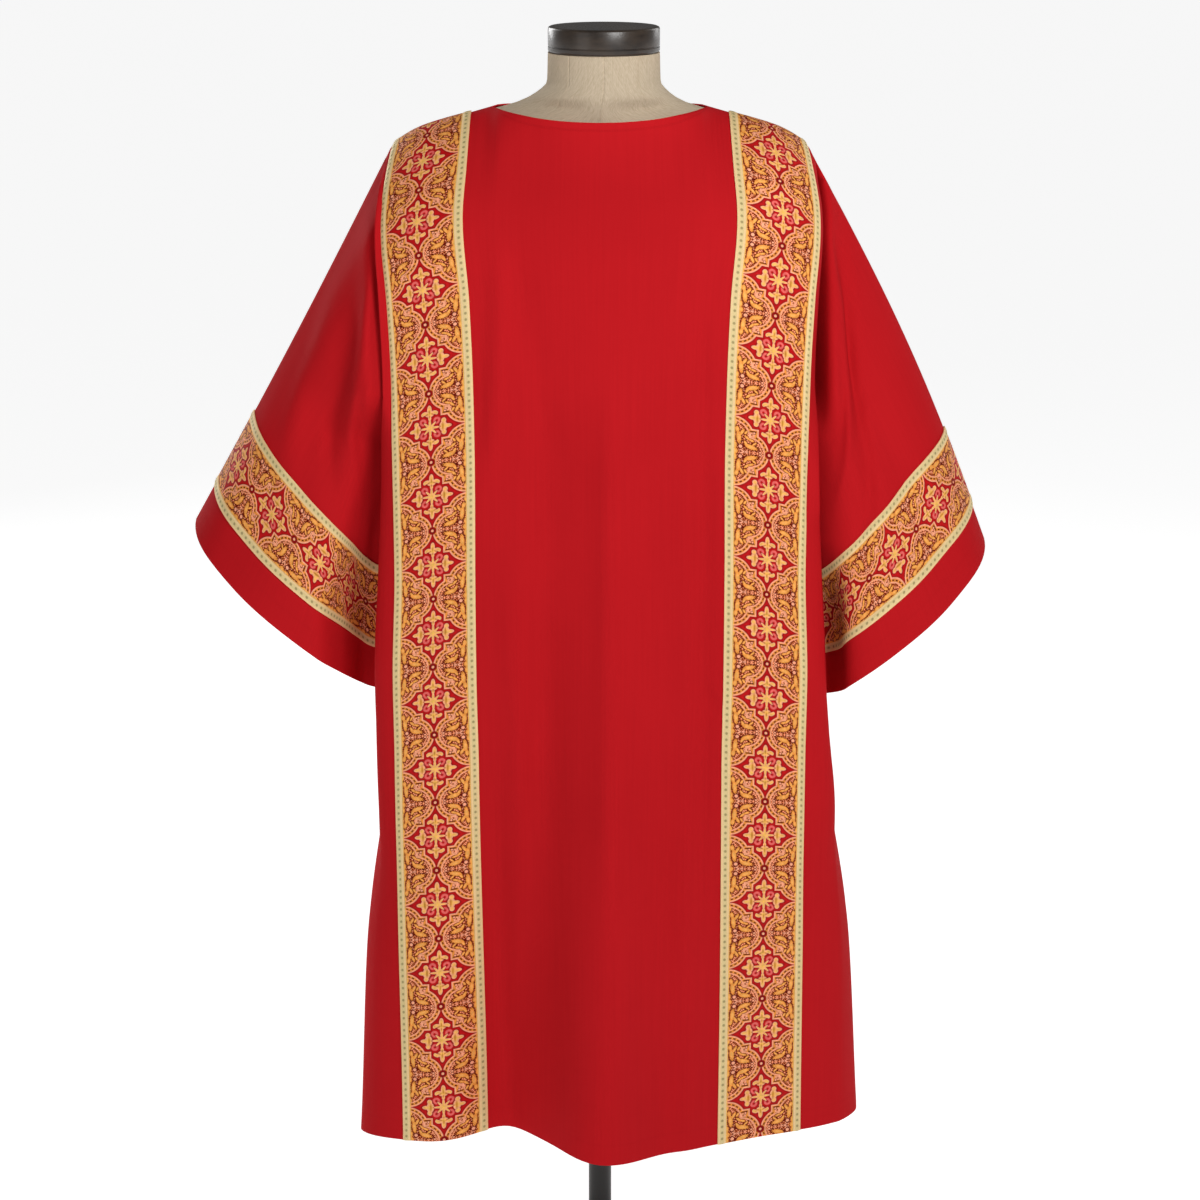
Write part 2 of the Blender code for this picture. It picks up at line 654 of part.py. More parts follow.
def add_form(collection, linen, wood, metal):
    rows = np.array(FORM_SECTIONS)
    angles = np.linspace(0, 2 * math.pi, FORM_STEPS_AROUND + 1)
    rings = []
    for z, half_x, front, back, square in rows:
        c, s = np.cos(angles), np.sin(angles)
        x = half_x * np.sign(c) * np.abs(c) ** (2 / square)
        depth = np.where(s < 0, front, back)
        y = depth * np.sign(s) * np.abs(s) ** (2 / square)
        shift = NECK_SHIFT * eased(z, NECK_SHIFT_START, NECK_SHIFT_FULL)
        rings.append(np.stack([x + shift, y, np.full_like(x, z)], axis=1))
    bm = grid_mesh(np.array(rings))
    bmesh.ops.remove_doubles(bm, verts=bm.verts[:], dist=1e-6)
    bmesh.ops.holes_fill(bm, edges=bm.edges[:])
    bmesh.ops.recalc_face_normals(bm, faces=bm.faces[:])
    torso = add_object(collection, "form_torso", bm, linen)
    torso.data.shade_smooth()

    neck_top = FORM_SECTIONS[-1][0] + SEAM_GAP
    cap_top = neck_top + CAP_HEIGHT
    cap = (
        (CAP_RADIUS - CAP_EDGE, cap_top),
        (CAP_RADIUS, cap_top - CAP_EDGE),
        (CAP_RADIUS, neck_top + CAP_EDGE),
        (CAP_RADIUS - CAP_EDGE, neck_top),
    )
    add_turned(collection, "neck_cap", cap, wood, neck_top).location.x = NECK_SHIFT
    add_turned(collection, "stand_base", DISC_PROFILE, wood, 0.0)
    hub_foot = DISC_PROFILE[0][1] + SEAM_GAP
    hub = [(radius, hub_foot + height) for radius, height in HUB_PROFILE]
    add_turned(collection, "stand_hub", hub, wood, hub_foot)
    pole_foot = hub[0][1] + SEAM_GAP
    pole = ((POLE_RADIUS, FORM_SECTIONS[0][0] - SEAM_GAP), (POLE_RADIUS, pole_foot))
    add_turned(collection, "stand_pole", pole, metal, pole_foot)


def main():
    collection = fresh_scene()
    cloth = finish_of("red_cloth", RED, 0.75)
    band = finish_of("brocade_band", BROCADE, 0.5)
    braid = finish_of("gold_braid", GOLD, 0.45)
    linen = finish_of("linen_cover", LINEN, 0.85)
    wood = finish_of("dark_wood", DARK_WOOD, 0.35)
    metal = finish_of("dark_metal", DARK_WOOD, 0.3, 0.8)
    panels = add_panels(collection, cloth)
    add_sleeves(collection, panels, cloth, band, braid)
    add_body_bands(collection, panels, band, braid)
    add_form(collection, linen, wood, metal)


main()
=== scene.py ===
"""The finished look of a dalmatic on a limbless dress form.

Each cloth piece is a fine shell over its solid, worked out from the same sizes and
tables as the solid, with soft creases pressed into it. Metres, +Z up, the garment
faces -Y, and the wearer's left is +X.
"""

import math

import bpy
import numpy as np
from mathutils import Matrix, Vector


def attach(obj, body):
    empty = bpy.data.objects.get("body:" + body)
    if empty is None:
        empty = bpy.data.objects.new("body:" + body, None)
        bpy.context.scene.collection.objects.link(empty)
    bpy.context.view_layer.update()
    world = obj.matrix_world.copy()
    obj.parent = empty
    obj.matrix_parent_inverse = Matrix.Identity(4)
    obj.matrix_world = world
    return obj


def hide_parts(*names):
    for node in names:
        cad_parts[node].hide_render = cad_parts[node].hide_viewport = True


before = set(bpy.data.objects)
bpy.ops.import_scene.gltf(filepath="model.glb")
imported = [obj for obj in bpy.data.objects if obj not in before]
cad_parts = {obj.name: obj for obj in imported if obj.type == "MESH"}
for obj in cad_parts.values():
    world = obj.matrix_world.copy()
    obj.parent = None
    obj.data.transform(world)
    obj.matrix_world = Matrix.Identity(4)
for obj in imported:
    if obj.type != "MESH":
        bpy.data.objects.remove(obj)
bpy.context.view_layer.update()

MM = 1000.0
A_HAIR = 1e-6

# ---------------------------------------------------------------- sizes of the cut
SEAM_GAP = 0.0003
SIDE_SEAM_GAP = 0.00004
PANEL_WALL = 0.0016
BAND_WALL = 0.0012
BRAID_WALL = 0.0014
BRAID_CROWN = 0.0006

HEM_HEIGHT = 0.2165
NECK_HALF_WIDTH = 0.124
NECK_POINT_HEIGHT = 1.4604
NECKLINE = {
    "front": {"height": 1.4500, "reach": 0.085},
    "back": {"height": 1.4560, "reach": 0.072},
}
BAND_INNER = 0.150
BRAID_WIDTH = 0.010
BAND_WIDTH = 0.100
BAND_OUTER = BAND_INNER + BAND_WIDTH
MARGIN_WIDTH = 0.080
CUFF_MARGIN = 0.050
ARCH_HEIGHT = 0.160
PANEL_DROP = 1.235
UNDERARM_DROP = 0.446

SHOULDER_LINE = (
    # across     x       z
    (0.124, 0.1240, 1.4604),
    (0.150, 0.1500, 1.4530),
    (0.178, 0.1770, 1.4458),
    (0.210, 0.2080, 1.4358),
    (0.231, 0.2266, 1.4262),
    (0.250, 0.2395, 1.4165),
    (0.262, 0.2462, 1.4070),
    (0.272, 0.2515, 1.3990),
)
# Level sections of one half of each panel; "out" is the distance from the side plane.
FRONT = (
    # z     mid_out inner_x inner_out outer_x outer_out edge_x edge_out tuck_x tuck_out
    (1.46, 0.085, 0.152, 0.072, 0.243, 0.052, 0.252, 0.036, 0.253, 0.020),
    (1.40, 0.110, 0.155, 0.102, 0.252, 0.070, 0.261, 0.052, 0.259, 0.032),
    (1.35, 0.128, 0.158, 0.120, 0.256, 0.088, 0.266, 0.070, 0.261, 0.050),
    (1.25, 0.146, 0.150, 0.138, 0.247, 0.111, 0.258, 0.092, 0.251, 0.071),
    (1.15, 0.152, 0.146, 0.144, 0.242, 0.119, 0.254, 0.100, 0.244, 0.078),
    (1.05, 0.154, 0.1445, 0.146, 0.2405, 0.122, 0.255, 0.103, 0.239, 0.078),
    (0.93, 0.156, 0.145, 0.147, 0.2395, 0.124, 0.260, 0.103, 0.228, 0.066),
    (0.80, 0.158, 0.1445, 0.147, 0.243, 0.124, 0.266, 0.101, 0.226, 0.058),
    (0.70, 0.160, 0.143, 0.146, 0.242, 0.121, 0.265, 0.096, 0.245, 0.052),
    (0.586, 0.162, 0.143, 0.143, 0.242, 0.115, 0.264, 0.087, 0.267, 0.042),
    (0.45, 0.164, 0.143, 0.138, 0.2435, 0.108, 0.277, 0.076, 0.287, 0.036),
    (0.2165, 0.167, 0.142, 0.127, 0.245, 0.094, 0.288, 0.058, 0.302, 0.026),
)
BACK = (
    # the same columns as the front's
    (1.46, 0.072, 0.152, 0.066, 0.243, 0.046, 0.252, 0.034, 0.253, 0.020),
    (1.40, 0.106, 0.155, 0.098, 0.252, 0.066, 0.261, 0.050, 0.259, 0.032),
    (1.35, 0.126, 0.157, 0.118, 0.254, 0.084, 0.265, 0.066, 0.260, 0.048),
    (1.25, 0.144, 0.151, 0.136, 0.249, 0.106, 0.260, 0.088, 0.252, 0.068),
    (1.15, 0.150, 0.148, 0.142, 0.245, 0.115, 0.257, 0.096, 0.245, 0.075),
    (1.05, 0.152, 0.147, 0.144, 0.243, 0.119, 0.257, 0.099, 0.239, 0.075),
    (0.93, 0.154, 0.146, 0.146, 0.242, 0.122, 0.260, 0.100, 0.228, 0.064),
    (0.80, 0.158, 0.146, 0.149, 0.243, 0.124, 0.265, 0.100, 0.226, 0.056),
    (0.70, 0.162, 0.145, 0.152, 0.243, 0.125, 0.265, 0.098, 0.245, 0.051),
    (0.586, 0.167, 0.145, 0.155, 0.243, 0.124, 0.266, 0.093, 0.268, 0.043),
    (0.45, 0.172, 0.144, 0.157, 0.244, 0.122, 0.277, 0.085, 0.289, 0.038),
    (0.2165, 0.180, 0.143, 0.160, 0.246, 0.122, 0.290, 0.076, 0.303, 0.032),
)
SEAM = (
    # z       x     front_out back_out
    (1.399, 0.2515, 0.000, 0.000),
    (1.380, 0.2520, 0.014, 0.014),
    (1.350, 0.2500, 0.033, 0.032),
    (1.300, 0.2460, 0.052, 0.050),
    (1.250, 0.2415, 0.061, 0.058),
    (1.150, 0.2340, 0.067, 0.064),
    (1.050, 0.2270, 0.060, 0.058),
    (1.000, 0.2210, 0.043, 0.042),
    (0.977, 0.2170, 0.000, 0.000),
    (0.930, 0.2120, 0.000, 0.000),
    (0.800, 0.2100, 0.000, 0.000),
    (0.700, 0.2340, 0.000, 0.000),
    (0.586, 0.2640, 0.000, 0.000),
    (0.450, 0.2870, 0.000, 0.000),
    (0.2165, 0.3030, 0.000, 0.000),
)
FOLDS = {
    "front": (
        # across  width  start  full   out
        (0.010, 0.060, 1.00, 0.28, 0.020),
        (-0.120, 0.055, 0.86, 0.24, -0.060),
        (-0.060, 0.030, 1.34, 1.00, -0.005),
        (0.075, 0.035, 1.20, 0.70, -0.007),
        (-0.205, 0.040, 0.90, 0.40, 0.006),
        (0.205, 0.045, 0.80, 0.40, -0.006),
    ),
    "back": (
        # the same columns as the front's
        (0.000, 0.060, 1.20, 0.40, -0.022),
        (-0.105, 0.050, 1.05, 0.35, 0.016),
        (0.110, 0.050, 1.10, 0.30, 0.018),
        (-0.215, 0.045, 0.90, 0.35, -0.014),
        (0.220, 0.045, 0.85, 0.35, -0.012),
    ),
}
HEM_RISE = (
    # across  rise
    (-0.330, 0.000),
    (-0.230, 0.013),
    (-0.130, 0.015),
    (-0.060, 0.008),
    (0.000, 0.000),
    (0.080, -0.005),
    (0.330, -0.004),
)
# Toward the hem the garment is turned a little, drawn in on the wearer's right, and
# wider at the side seam on the left.
HEM_TURN = 0.15
HEM_TURN_START = 0.70
HEM_DRAWN_IN = 0.033
LEFT_SIDE_WIDER = 0.017
WIDER_SHARE = 1 / 3
WIDER_START = 0.84
WIDER_FULL = 0.62

SLEEVES = {
    "right": {"side": -1, "tip": (0.4835, 0.967), "bottom": (0.2420, 0.774),
              "deep": 0.115, "square": 2.4, "sag": 0.026, "bow": -0.003},
    "left": {"side": 1, "tip": (0.4605, 0.943), "bottom": (0.2430, 0.766),
             "deep": 0.115, "square": 2.4, "sag": 0.024, "bow": 0.013},
}
# Under the arm a sleeve spreads outward, within these degrees of its underarm and
# between these shares of the way up it.
UNDERARM_SPREAD = 0.009
UNDERARM_FULL = 70.0
UNDERARM_END = 130.0
UNDERARM_RISE = (0.0, 0.5)
UNDERARM_FALL = (1.0, 0.93)
# How far round from the outer fold its bow reaches, in radians.
BOW_REACH = 0.5
# How quickly the sleeve's edge climbs over the armhole's where the sleeve folds back.
FOLD_BACK = 1.6
SLEEVE_FOLDS = (
    # angle width  out
    (52.0, 16.0, -0.007),
    (92.0, 22.0, 0.008),
    (300.0, 20.0, -0.007),
    (262.0, 22.0, 0.008),
)
# The folds start below the seam, and this share of them is left at the cuff's edge.
SLEEVE_FOLDS_START = (1.0, 0.55)
SLEEVE_FOLDS_EDGE = (0.0, 0.35)
SLEEVE_FOLDS_LEFT = 0.55

# Where a crease fades in at its top and out at its foot, as shares of its length.
CREASE_FADES = {"panel": ((-0.12, 0.25), (1.15, 0.75)), "sleeve": ((-0.02, 0.30), (1.25, 0.70))}
# Creases pressed into the panels, each along a line from (across, height) to
# (across, height), bowed sideways half way, with its width and how far it stands out.
CREASES = {
    "front": (
        # across z_top  across z_low  bow   width  out
        (-0.111, 1.33, -0.133, 1.05, 0.003, 0.011, 0.0060),
        (-0.088, 1.30, -0.064, 1.08, -0.004, 0.016, -0.0034),
        (-0.064, 1.14, -0.066, 0.60, 0.000, 0.020, -0.0030),
        (-0.067, 0.86, -0.062, 0.10, 0.003, 0.026, -0.0056),
        (-0.104, 0.92, -0.110, 0.30, 0.002, 0.015, 0.0046),
        (0.010, 1.15, 0.009, 0.56, 0.000, 0.013, 0.0040),
        (0.013, 1.16, 0.010, 0.50, 0.002, 0.028, 0.0086),
        (0.016, 0.72, 0.004, 0.22, 0.004, 0.026, 0.0050),
        (0.117, 1.24, 0.122, 1.13, 0.000, 0.009, -0.0032),
        (0.122, 1.16, 0.126, 0.50, 0.002, 0.013, -0.0062),
        (-0.112, 1.42, -0.096, 1.26, -0.006, 0.024, -0.0024),
        (0.120, 0.80, 0.146, 0.758, 0.002, 0.007, -0.0018),
        (0.086, 0.430, 0.132, 0.424, -0.004, 0.006, -0.0014),
        (0.106, 0.64, 0.112, 0.20, 0.000, 0.019, 0.0062),
    ),
    "back": (
        # the same columns as the front's
        (-0.050, 1.34, -0.040, 0.70, 0.006, 0.022, -0.0080),
        (0.040, 1.30, 0.052, 0.52, -0.006, 0.020, 0.0070),
        (-0.004, 0.90, 0.006, 0.26, 0.004, 0.022, 0.0076),
        (-0.120, 1.20, -0.124, 0.40, -0.004, 0.016, -0.0052),
        (0.124, 1.15, 0.118, 0.34, 0.004, 0.015, -0.0050),
        (0.080, 1.40, 0.030, 1.30, 0.008, 0.016, -0.0036),
        (-0.080, 1.40, -0.030, 1.31, -0.008, 0.016, -0.0036),
        (-0.086, 0.72, -0.094, 0.24, 0.002, 0.024, 0.0064),
        (0.088, 0.60, 0.080, 0.22, -0.003, 0.022, -0.0060),
    ),
}
# Creases of a sleeve: the angle round it and the share of the way up it at both
# ends, its width in degrees and how far it stands out.
SLEEVE_CREASES = {
    "right": (
        # angle share angle share width out
        (38.0, 0.93, 88.0, 0.62, 9.0, 0.0075),
        (36.0, 0.84, 80.0, 0.50, 11.0, -0.0080),
        (28.0, 0.78, 54.0, 0.32, 14.0, 0.0105),
        (106.0, 0.88, 122.0, -0.30, 13.0, -0.0150),
        (128.0, 0.92, 142.0, -0.25, 16.0, -0.0180),
        (318.0, 0.98, 310.0, 0.30, 8.0, 0.0035),
        (285.0, 0.98, 280.0, 0.20, 9.0, -0.0040),
        (236.0, 0.96, 228.0, 0.20, 9.0, 0.0032),
    ),
    "left": (
        # the same columns as the right's
        (20.0, 0.90, 90.0, 0.60, 8.0, 0.0060),
        (10.0, 0.93, 64.0, 0.65, 9.0, -0.0100),
        (56.0, 0.70, 88.0, 0.40, 9.5, -0.0075),
        (122.0, 0.46, 138.0, -0.25, 14.0, -0.0230),
        (322.0, 0.98, 314.0, 0.30, 8.0, 0.0035),
        (290.0, 0.98, 284.0, 0.20, 9.0, -0.0040),
        (240.0, 0.96, 232.0, 0.20, 9.0, 0.0032),
    ),
}

# How the cloth beside each front armhole is moved: on which side, from, fully between
# and to these heights, how far inward and back, fading out between these places
# across, and how far the sleeve's crest beside it comes forward. A sleeve follows it
# from the first of TUCK_SHARES of the way up it, and fully from the second.
ARMHOLE_TUCKS = (
    # side top  full_top full_low low inward  back  near  far  crest
    (-1, 1.400, 1.350, 1.145, 1.075, 0.005, -0.044, 0.266, 0.350, 0.008),
    (1, 1.400, 1.366, 1.150, 1.080, 0.007, 0.036, 0.254, 0.269, 0.009),
    (1, 1.085, 1.040, 1.005, 0.978, 0.000, -0.030, 0.244, 0.320, 0.000),
)
TUCK_SHARES = (0.30, 0.50)
CREST = {"across": 0.275, "width": 0.009}
# How each sleeve's front is drawn back in its low inner corner: from and fully at
# these heights, fully within and fading out between these places across. What is
# drawn back hangs a little lower.
CORNER_SAG = 0.21
CORNERS = {
    -1: {"top": 0.976, "full": 0.870, "near": 0.284, "far": 0.334, "share": 0.74},
    1: {"top": 0.960, "full": 0.835, "near": 0.268, "far": 0.294, "share": 0.70},
}

# The dress form, as level sections.
FORM_SECTIONS = (
    # z      half_x  front  back  square
    (0.7400, 0.150, 0.098, 0.108, 2.3),
    (0.7600, 0.164, 0.108, 0.118, 2.3),
    (0.8200, 0.174, 0.112, 0.124, 2.3),
    (0.9000, 0.166, 0.106, 0.112, 2.3),
    (1.0000, 0.150, 0.098, 0.092, 2.2),
    (1.0800, 0.156, 0.103, 0.092, 2.2),
    (1.1700, 0.176, 0.115, 0.106, 2.3),
    (1.2500, 0.188, 0.118, 0.114, 2.4),
    (1.3200, 0.194, 0.108, 0.112, 2.5),
    (1.3700, 0.198, 0.095, 0.100, 2.5),
    (1.4000, 0.200, 0.084, 0.084, 2.3),
    (1.4200, 0.199, 0.074, 0.074, 1.9),
    (1.4350, 0.196, 0.067, 0.067, 1.5),
    (1.4405, 0.190, 0.065, 0.065, 1.35),
    (1.4443, 0.177, 0.063, 0.063, 1.35),
    (1.4515, 0.150, 0.061, 0.061, 1.3),
    (1.4588, 0.122, 0.061, 0.060, 1.2),
    (1.4660, 0.098, 0.060, 0.059, 1.4),
    (1.4760, 0.079, 0.060, 0.058, 2.0),
    (1.4900, 0.0665, 0.060, 0.058, 2.0),
    (1.5235, 0.0655, 0.062, 0.060, 2.0),
)
NECK_SHIFT = 0.0045
NECK_SHIFT_START = 1.4515
NECK_SHIFT_FULL = 1.4900
CAP_RADIUS = 0.0655
POLE_RADIUS = 0.014
# Turned profiles, from the foot up.
CAP_PROFILE = (
    # radius below the cap's own, height above its foot
    (0.0026, 0.0000),
    (0.0010, 0.0008),
    (0.0000, 0.0026),
    (0.0000, 0.0062),
    (0.0009, 0.0068),
    (0.0009, 0.0074),
    (0.0000, 0.0080),
    (0.0000, 0.0272),
    (0.0008, 0.0290),
    (0.0026, 0.0299),
    (0.0060, 0.0300),
    (0.0400, 0.0296),
)
BASE_PROFILE = (
    # radius height
    (0.1985, 0.0000),
    (0.2000, 0.0015),
    (0.2000, 0.0060),
    (0.1994, 0.0085),
    (0.1976, 0.0103),
    (0.1930, 0.0118),
    (0.1850, 0.0139),
    (0.1500, 0.0162),
    (0.0800, 0.0205),
    (0.0400, 0.0229),
    (0.0380, 0.0230),
)
BASE_TOP = 0.0230
HUB_PROFILE = (
    # radius, height above the base's top
    (0.0350, 0.0000),
    (0.0360, 0.0008),
    (0.0357, 0.0022),
    (0.0330, 0.0044),
    (0.0290, 0.0068),
    (0.0260, 0.0092),
    (0.0252, 0.0150),
    (0.0244, 0.0220),
    (0.0240, 0.0262),
    (0.0232, 0.0280),
    (0.0216, 0.0288),
    (0.0160, 0.0290),
)
HUB_HEIGHT = 0.0290
TURNED_STEPS = 96
# Seams of the form's cover: angles from the wearer's left, a quarter turn being back.
FORM_SEAMS = (0.0, 52.0, 90.0, 128.0, 180.0, 232.0, 270.0, 308.0)
FORM_SEAM_DEPTH = 0.0006
FORM_SEAM_OFFSETS = (-1.6, -0.7, -0.3, 0.0, 0.3, 0.7, 1.6)
FORM_SEAM_WIDTH = 0.42
FORM_SEAM_CLEAR = 1.9
# The radius that the linen's threads are spaced on round the form.
FORM_WEAVE_RADIUS = 0.1649
FORM_AROUND = 96
FORM_ROWS = 150
FORM_END_RINGS = (0.0, 0.30, 0.60, 0.85, 0.96)

# ---------------------------------------------------------------- fineness
INSIDE_STEPS = 20
BRAID_STEPS = 3
BAND_STEPS = 16
MARGIN_STEPS = 24
TOP_ROWS = 14
TOP_ROWS_END = 0.060
PANEL_ROWS = 164
SLEEVE_ROUND = 150
SLEEVE_MARGIN_ROWS = 8
SLEEVE_UPPER_ROWS = 72
# Edges sharper than this stay sharp, in degrees.
CLOTH_SMOOTH = 50
TURNED_SMOOTH = 40


# ---------------------------------------------------------------- curves
def smooth_rows(knots, values, at):
    """Values on many smooth curves at once: knots (n, k), values (n, k, c), at (n,)."""
    gaps = np.diff(knots, axis=1)
    slopes = np.diff(values, axis=1) / gaps[..., None]
    tangents = np.zeros_like(values)
    tangents[:, 0], tangents[:, -1] = slopes[:, 0], slopes[:, -1]
    before, after = slopes[:, :-1], slopes[:, 1:]
    same_way = before * after > 0
    mean = 2 * before * after / np.where(same_way, before + after, 1.0)
    tangents[:, 1:-1] = np.where(same_way, mean, 0.0)
    at = np.clip(at, knots[:, 0], knots[:, -1])
    i = np.clip((knots[:, :-1] < at[:, None]).sum(axis=1) - 1, 0, gaps.shape[1] - 1)
    n = np.arange(len(at))
    span = gaps[n, i][:, None]
    t = (at[:, None] - knots[n, i][:, None]) / span
    return (
        values[n, i] * (1 + 2 * t) * (1 - t) ** 2
        + tangents[n, i] * span * t * (1 - t) ** 2
        + values[n, i + 1] * t**2 * (3 - 2 * t)
        + tangents[n, i + 1] * span * t**2 * (t - 1)
    )


def table_at(table, at):
    """The rows of a table at these places in its first column, on smooth curves."""
    rows = np.array(table, float)
    if rows[0, 0] > rows[-1, 0]:
        rows = rows[::-1]
    at = np.asarray(at, float)
    flat = at.reshape(-1)
    knots = np.broadcast_to(rows[:, 0], (len(flat), len(rows)))
    values = np.broadcast_to(rows[:, 1:], (len(flat), len(rows), rows.shape[1] - 1))
    return smooth_rows(knots, values, flat).reshape((*at.shape, -1))


def eased(value, start, end):
    """0 at start, 1 at end, and smooth between; start may be above end."""
    t = np.clip((value - start) / (end - start), 0.0, 1.0)
    return t * t * (3 - 2 * t)


def unit(vectors):
    return vectors / np.maximum(np.linalg.norm(vectors, axis=-1, keepdims=True), 1e-12)


def grid_normals(points):
    return unit(np.cross(np.gradient(points, axis=0), np.gradient(points, axis=1)))


def walked(points, axis=0):
    """Distance walked along the grid's rows or columns."""
    steps = np.linalg.norm(np.diff(points, axis=axis), axis=-1)
    start = np.zeros_like(np.take(steps, [0], axis=axis))
    return np.concatenate([start, np.cumsum(steps, axis=axis)], axis=axis)


# ---------------------------------------------------------------- body panels
def band_steps(start):
    """Places across a band and its two braids, from the first braid's outer edge."""
    end = start + BAND_WIDTH
    first = np.linspace(start, start + BRAID_WIDTH, BRAID_STEPS + 1)[:-1]
    band = np.linspace(start + BRAID_WIDTH, end - BRAID_WIDTH, BAND_STEPS + 1)[:-1]
    last = np.linspace(end - BRAID_WIDTH, end, BRAID_STEPS + 1)
    return np.concatenate([first, band, last])


def half_columns():
    """(across, margin) of the columns from the centre line to the seam."""
    inside_band = np.linspace(0.0, BAND_INNER, INSIDE_STEPS + 1)[:-1]
    columns = [(across, 0.0) for across in (*inside_band, *band_steps(BAND_INNER))]
    return columns + [(BAND_OUTER, (i + 1) / MARGIN_STEPS) for i in range(MARGIN_STEPS)]


def panel_columns():
    """Side, across and margin of every column, from the wearer's right to left."""
    half = half_columns()
    columns = [(-1, a, m) for a, m in reversed(half[1:])] + [(1, a, m) for a, m in half]
    return [np.array(column) for column in zip(*columns)]


def panel_drops():
    """How far down the cloth each row lies, closer together near the shoulders."""
    top = TOP_ROWS_END * (np.arange(TOP_ROWS) / TOP_ROWS) ** 2
    return np.concatenate([top, np.linspace(TOP_ROWS_END, PANEL_DROP, PANEL_ROWS)])


def panel_top(face, place):
    """The neckline's and the shoulder line's points at these places across."""
    neck = NECKLINE[face]
    share = np.minimum(place / NECK_HALF_WIDTH, 1.0)
    out = neck["reach"] * np.sqrt(1 - share**2)
    z = neck["height"] + (NECK_POINT_HEIGHT - neck["height"]) * share**2
    shoulder = table_at(SHOULDER_LINE, place)
    on_shoulder = place >= NECK_HALF_WIDTH
    return (
        np.where(on_shoulder, shoulder[:, 0], place),
        np.where(on_shoulder, 0.0, out),
        np.where(on_shoulder, shoulder[:, 1], z),
    )


def faded(share, cloth):
    """1 along a crease, and less toward both of its ends."""
    top, foot = CREASE_FADES[cloth]
    return eased(share, *top) * eased(share, *foot)


def creased(creases, across, height):
    """How far the pressed creases stand out at these places."""
    out = np.zeros_like(across)
    for top_across, z_top, low_across, z_low, bow, width, depth in creases:
        share = (height - z_top) / (z_low - z_top)
        along = np.clip(share, 0.0, 1.0)
        line_across = top_across + (low_across - top_across) * along + bow * np.sin(np.pi * along)
        out += depth * faded(share, "panel") * np.exp(-(((across - line_across) / width) ** 2))
    return out


def half_sections(face, z):
    """Level sections of one half of the panel at these heights, each as seven knots
    (x, out) from the other half's band to the side seam."""
    table = FRONT if face == "front" else BACK
    parts = np.moveaxis(table_at(table, z), -1, 0)
    mid, in_x, in_out, out_x, out_out, edge_x, edge_out, tuck_x, tuck_out = parts
    seam_x, seam_front, seam_back = np.moveaxis(table_at(SEAM, z), -1, 0)
    seam_out = seam_front if face == "front" else seam_back
    knots_x = np.stack([-in_x, 0 * mid, in_x, out_x, edge_x, tuck_x, seam_x], axis=-1)
    knots_out = np.stack([in_out, mid, in_out, out_out, edge_out, tuck_out, seam_out], axis=-1)
    return np.stack([knots_x, knots_out], axis=-1)


def on_sections(knots, across, margin):
    """The columns' points (x, out) on these sections, and how far across the cloth
    each one lies."""
    beyond_band = np.linalg.norm(np.diff(knots[..., 3:, :], axis=-2), axis=-1)
    margin_length = np.cumsum(beyond_band, axis=-1)
    shape = knots.shape[:-2]
    fixed = np.broadcast_to([-BAND_INNER, 0.0, BAND_INNER, BAND_OUTER], (*shape, 4))
    knots_at = np.concatenate([fixed, BAND_OUTER + margin_length], axis=-1)
    at = across + margin * margin_length[..., -1]
    count = at.size
    points = smooth_rows(knots_at.reshape(count, -1), knots.reshape(count, -1, 2), at.reshape(-1))
    x, out = np.moveaxis(points.reshape((*shape, 2)), -1, 0)
    return x, out, at


def panel_points(face):
    """The panel's fine grid, rows from the shoulders down and columns from the
    wearer's right, and how far across the cloth each point lies."""
    side, across, margin = panel_columns()
    drops = panel_drops()
    place = across + margin * (SHOULDER_LINE[-1][0] - BAND_OUTER)
    top_x, top_out, top_z = panel_top(face, place)
    rise = table_at(HEM_RISE, side * (across + margin * MARGIN_WIDTH))[:, 0]
    share = (drops / PANEL_DROP)[:, None]
    z = top_z + share * (HEM_HEIGHT + rise - top_z)
    x, out, at = on_sections(half_sections(face, z), across, margin)

    # near the shoulders the sections close up toward the top edge
    fallen = np.minimum((top_z - z) / ARCH_HEIGHT, 1.0)
    sloping = np.sin(fallen * np.pi / 2)
    arched = np.sqrt(np.maximum(1 - (1 - fallen) ** 2, 0.0))
    down = sloping + eased(place, NECK_HALF_WIDTH / 2, NECK_HALF_WIDTH) * (arched - sloping)
    out = top_out + (out - top_out) * down
    x = top_x + (x - top_x) * down
    for spot, width, start, full, depth in FOLDS[face]:
        fold = depth * eased(z, start, full) * np.exp(-(((side * at - spot) / width) ** 2))
        out += fold * (1 - margin) * down
    out += creased(CREASES[face], side * at, z) * (1 - margin) * down

    # toward the hem the sides are drawn in or let out, and the garment turns
    turned = eased(z, HEM_TURN_START, HEM_HEIGHT)
    drawn = x * (1 - HEM_DRAWN_IN * turned * np.minimum(1.0, across / BAND_INNER))
    wider = np.minimum(1.0, margin / WIDER_SHARE) * eased(z, WIDER_START, WIDER_FULL)
    x = side * np.where(side < 0, drawn, x + LEFT_SIDE_WIDER * wider)
    away = -1 if face == "front" else 1
    grid = np.stack([x, away * out + HEM_TURN * turned * x, z], axis=-1)

    # the panels part at the shoulder and side seams
    apart = away * (SEAM_GAP / 2 + PANEL_WALL / 2 * np.abs(grid_normals(grid)[..., 1]))
    at_shoulder = np.flatnonzero(across >= NECK_HALF_WIDTH)
    below_underarm = np.flatnonzero(drops >= UNDERARM_DROP)
    grid[0, at_shoulder, 1] += apart[0, at_shoulder]
    for column in (0, -1):
        grid[below_underarm, column, 1] += away * SIDE_SEAM_GAP / 2
    return grid, side * at


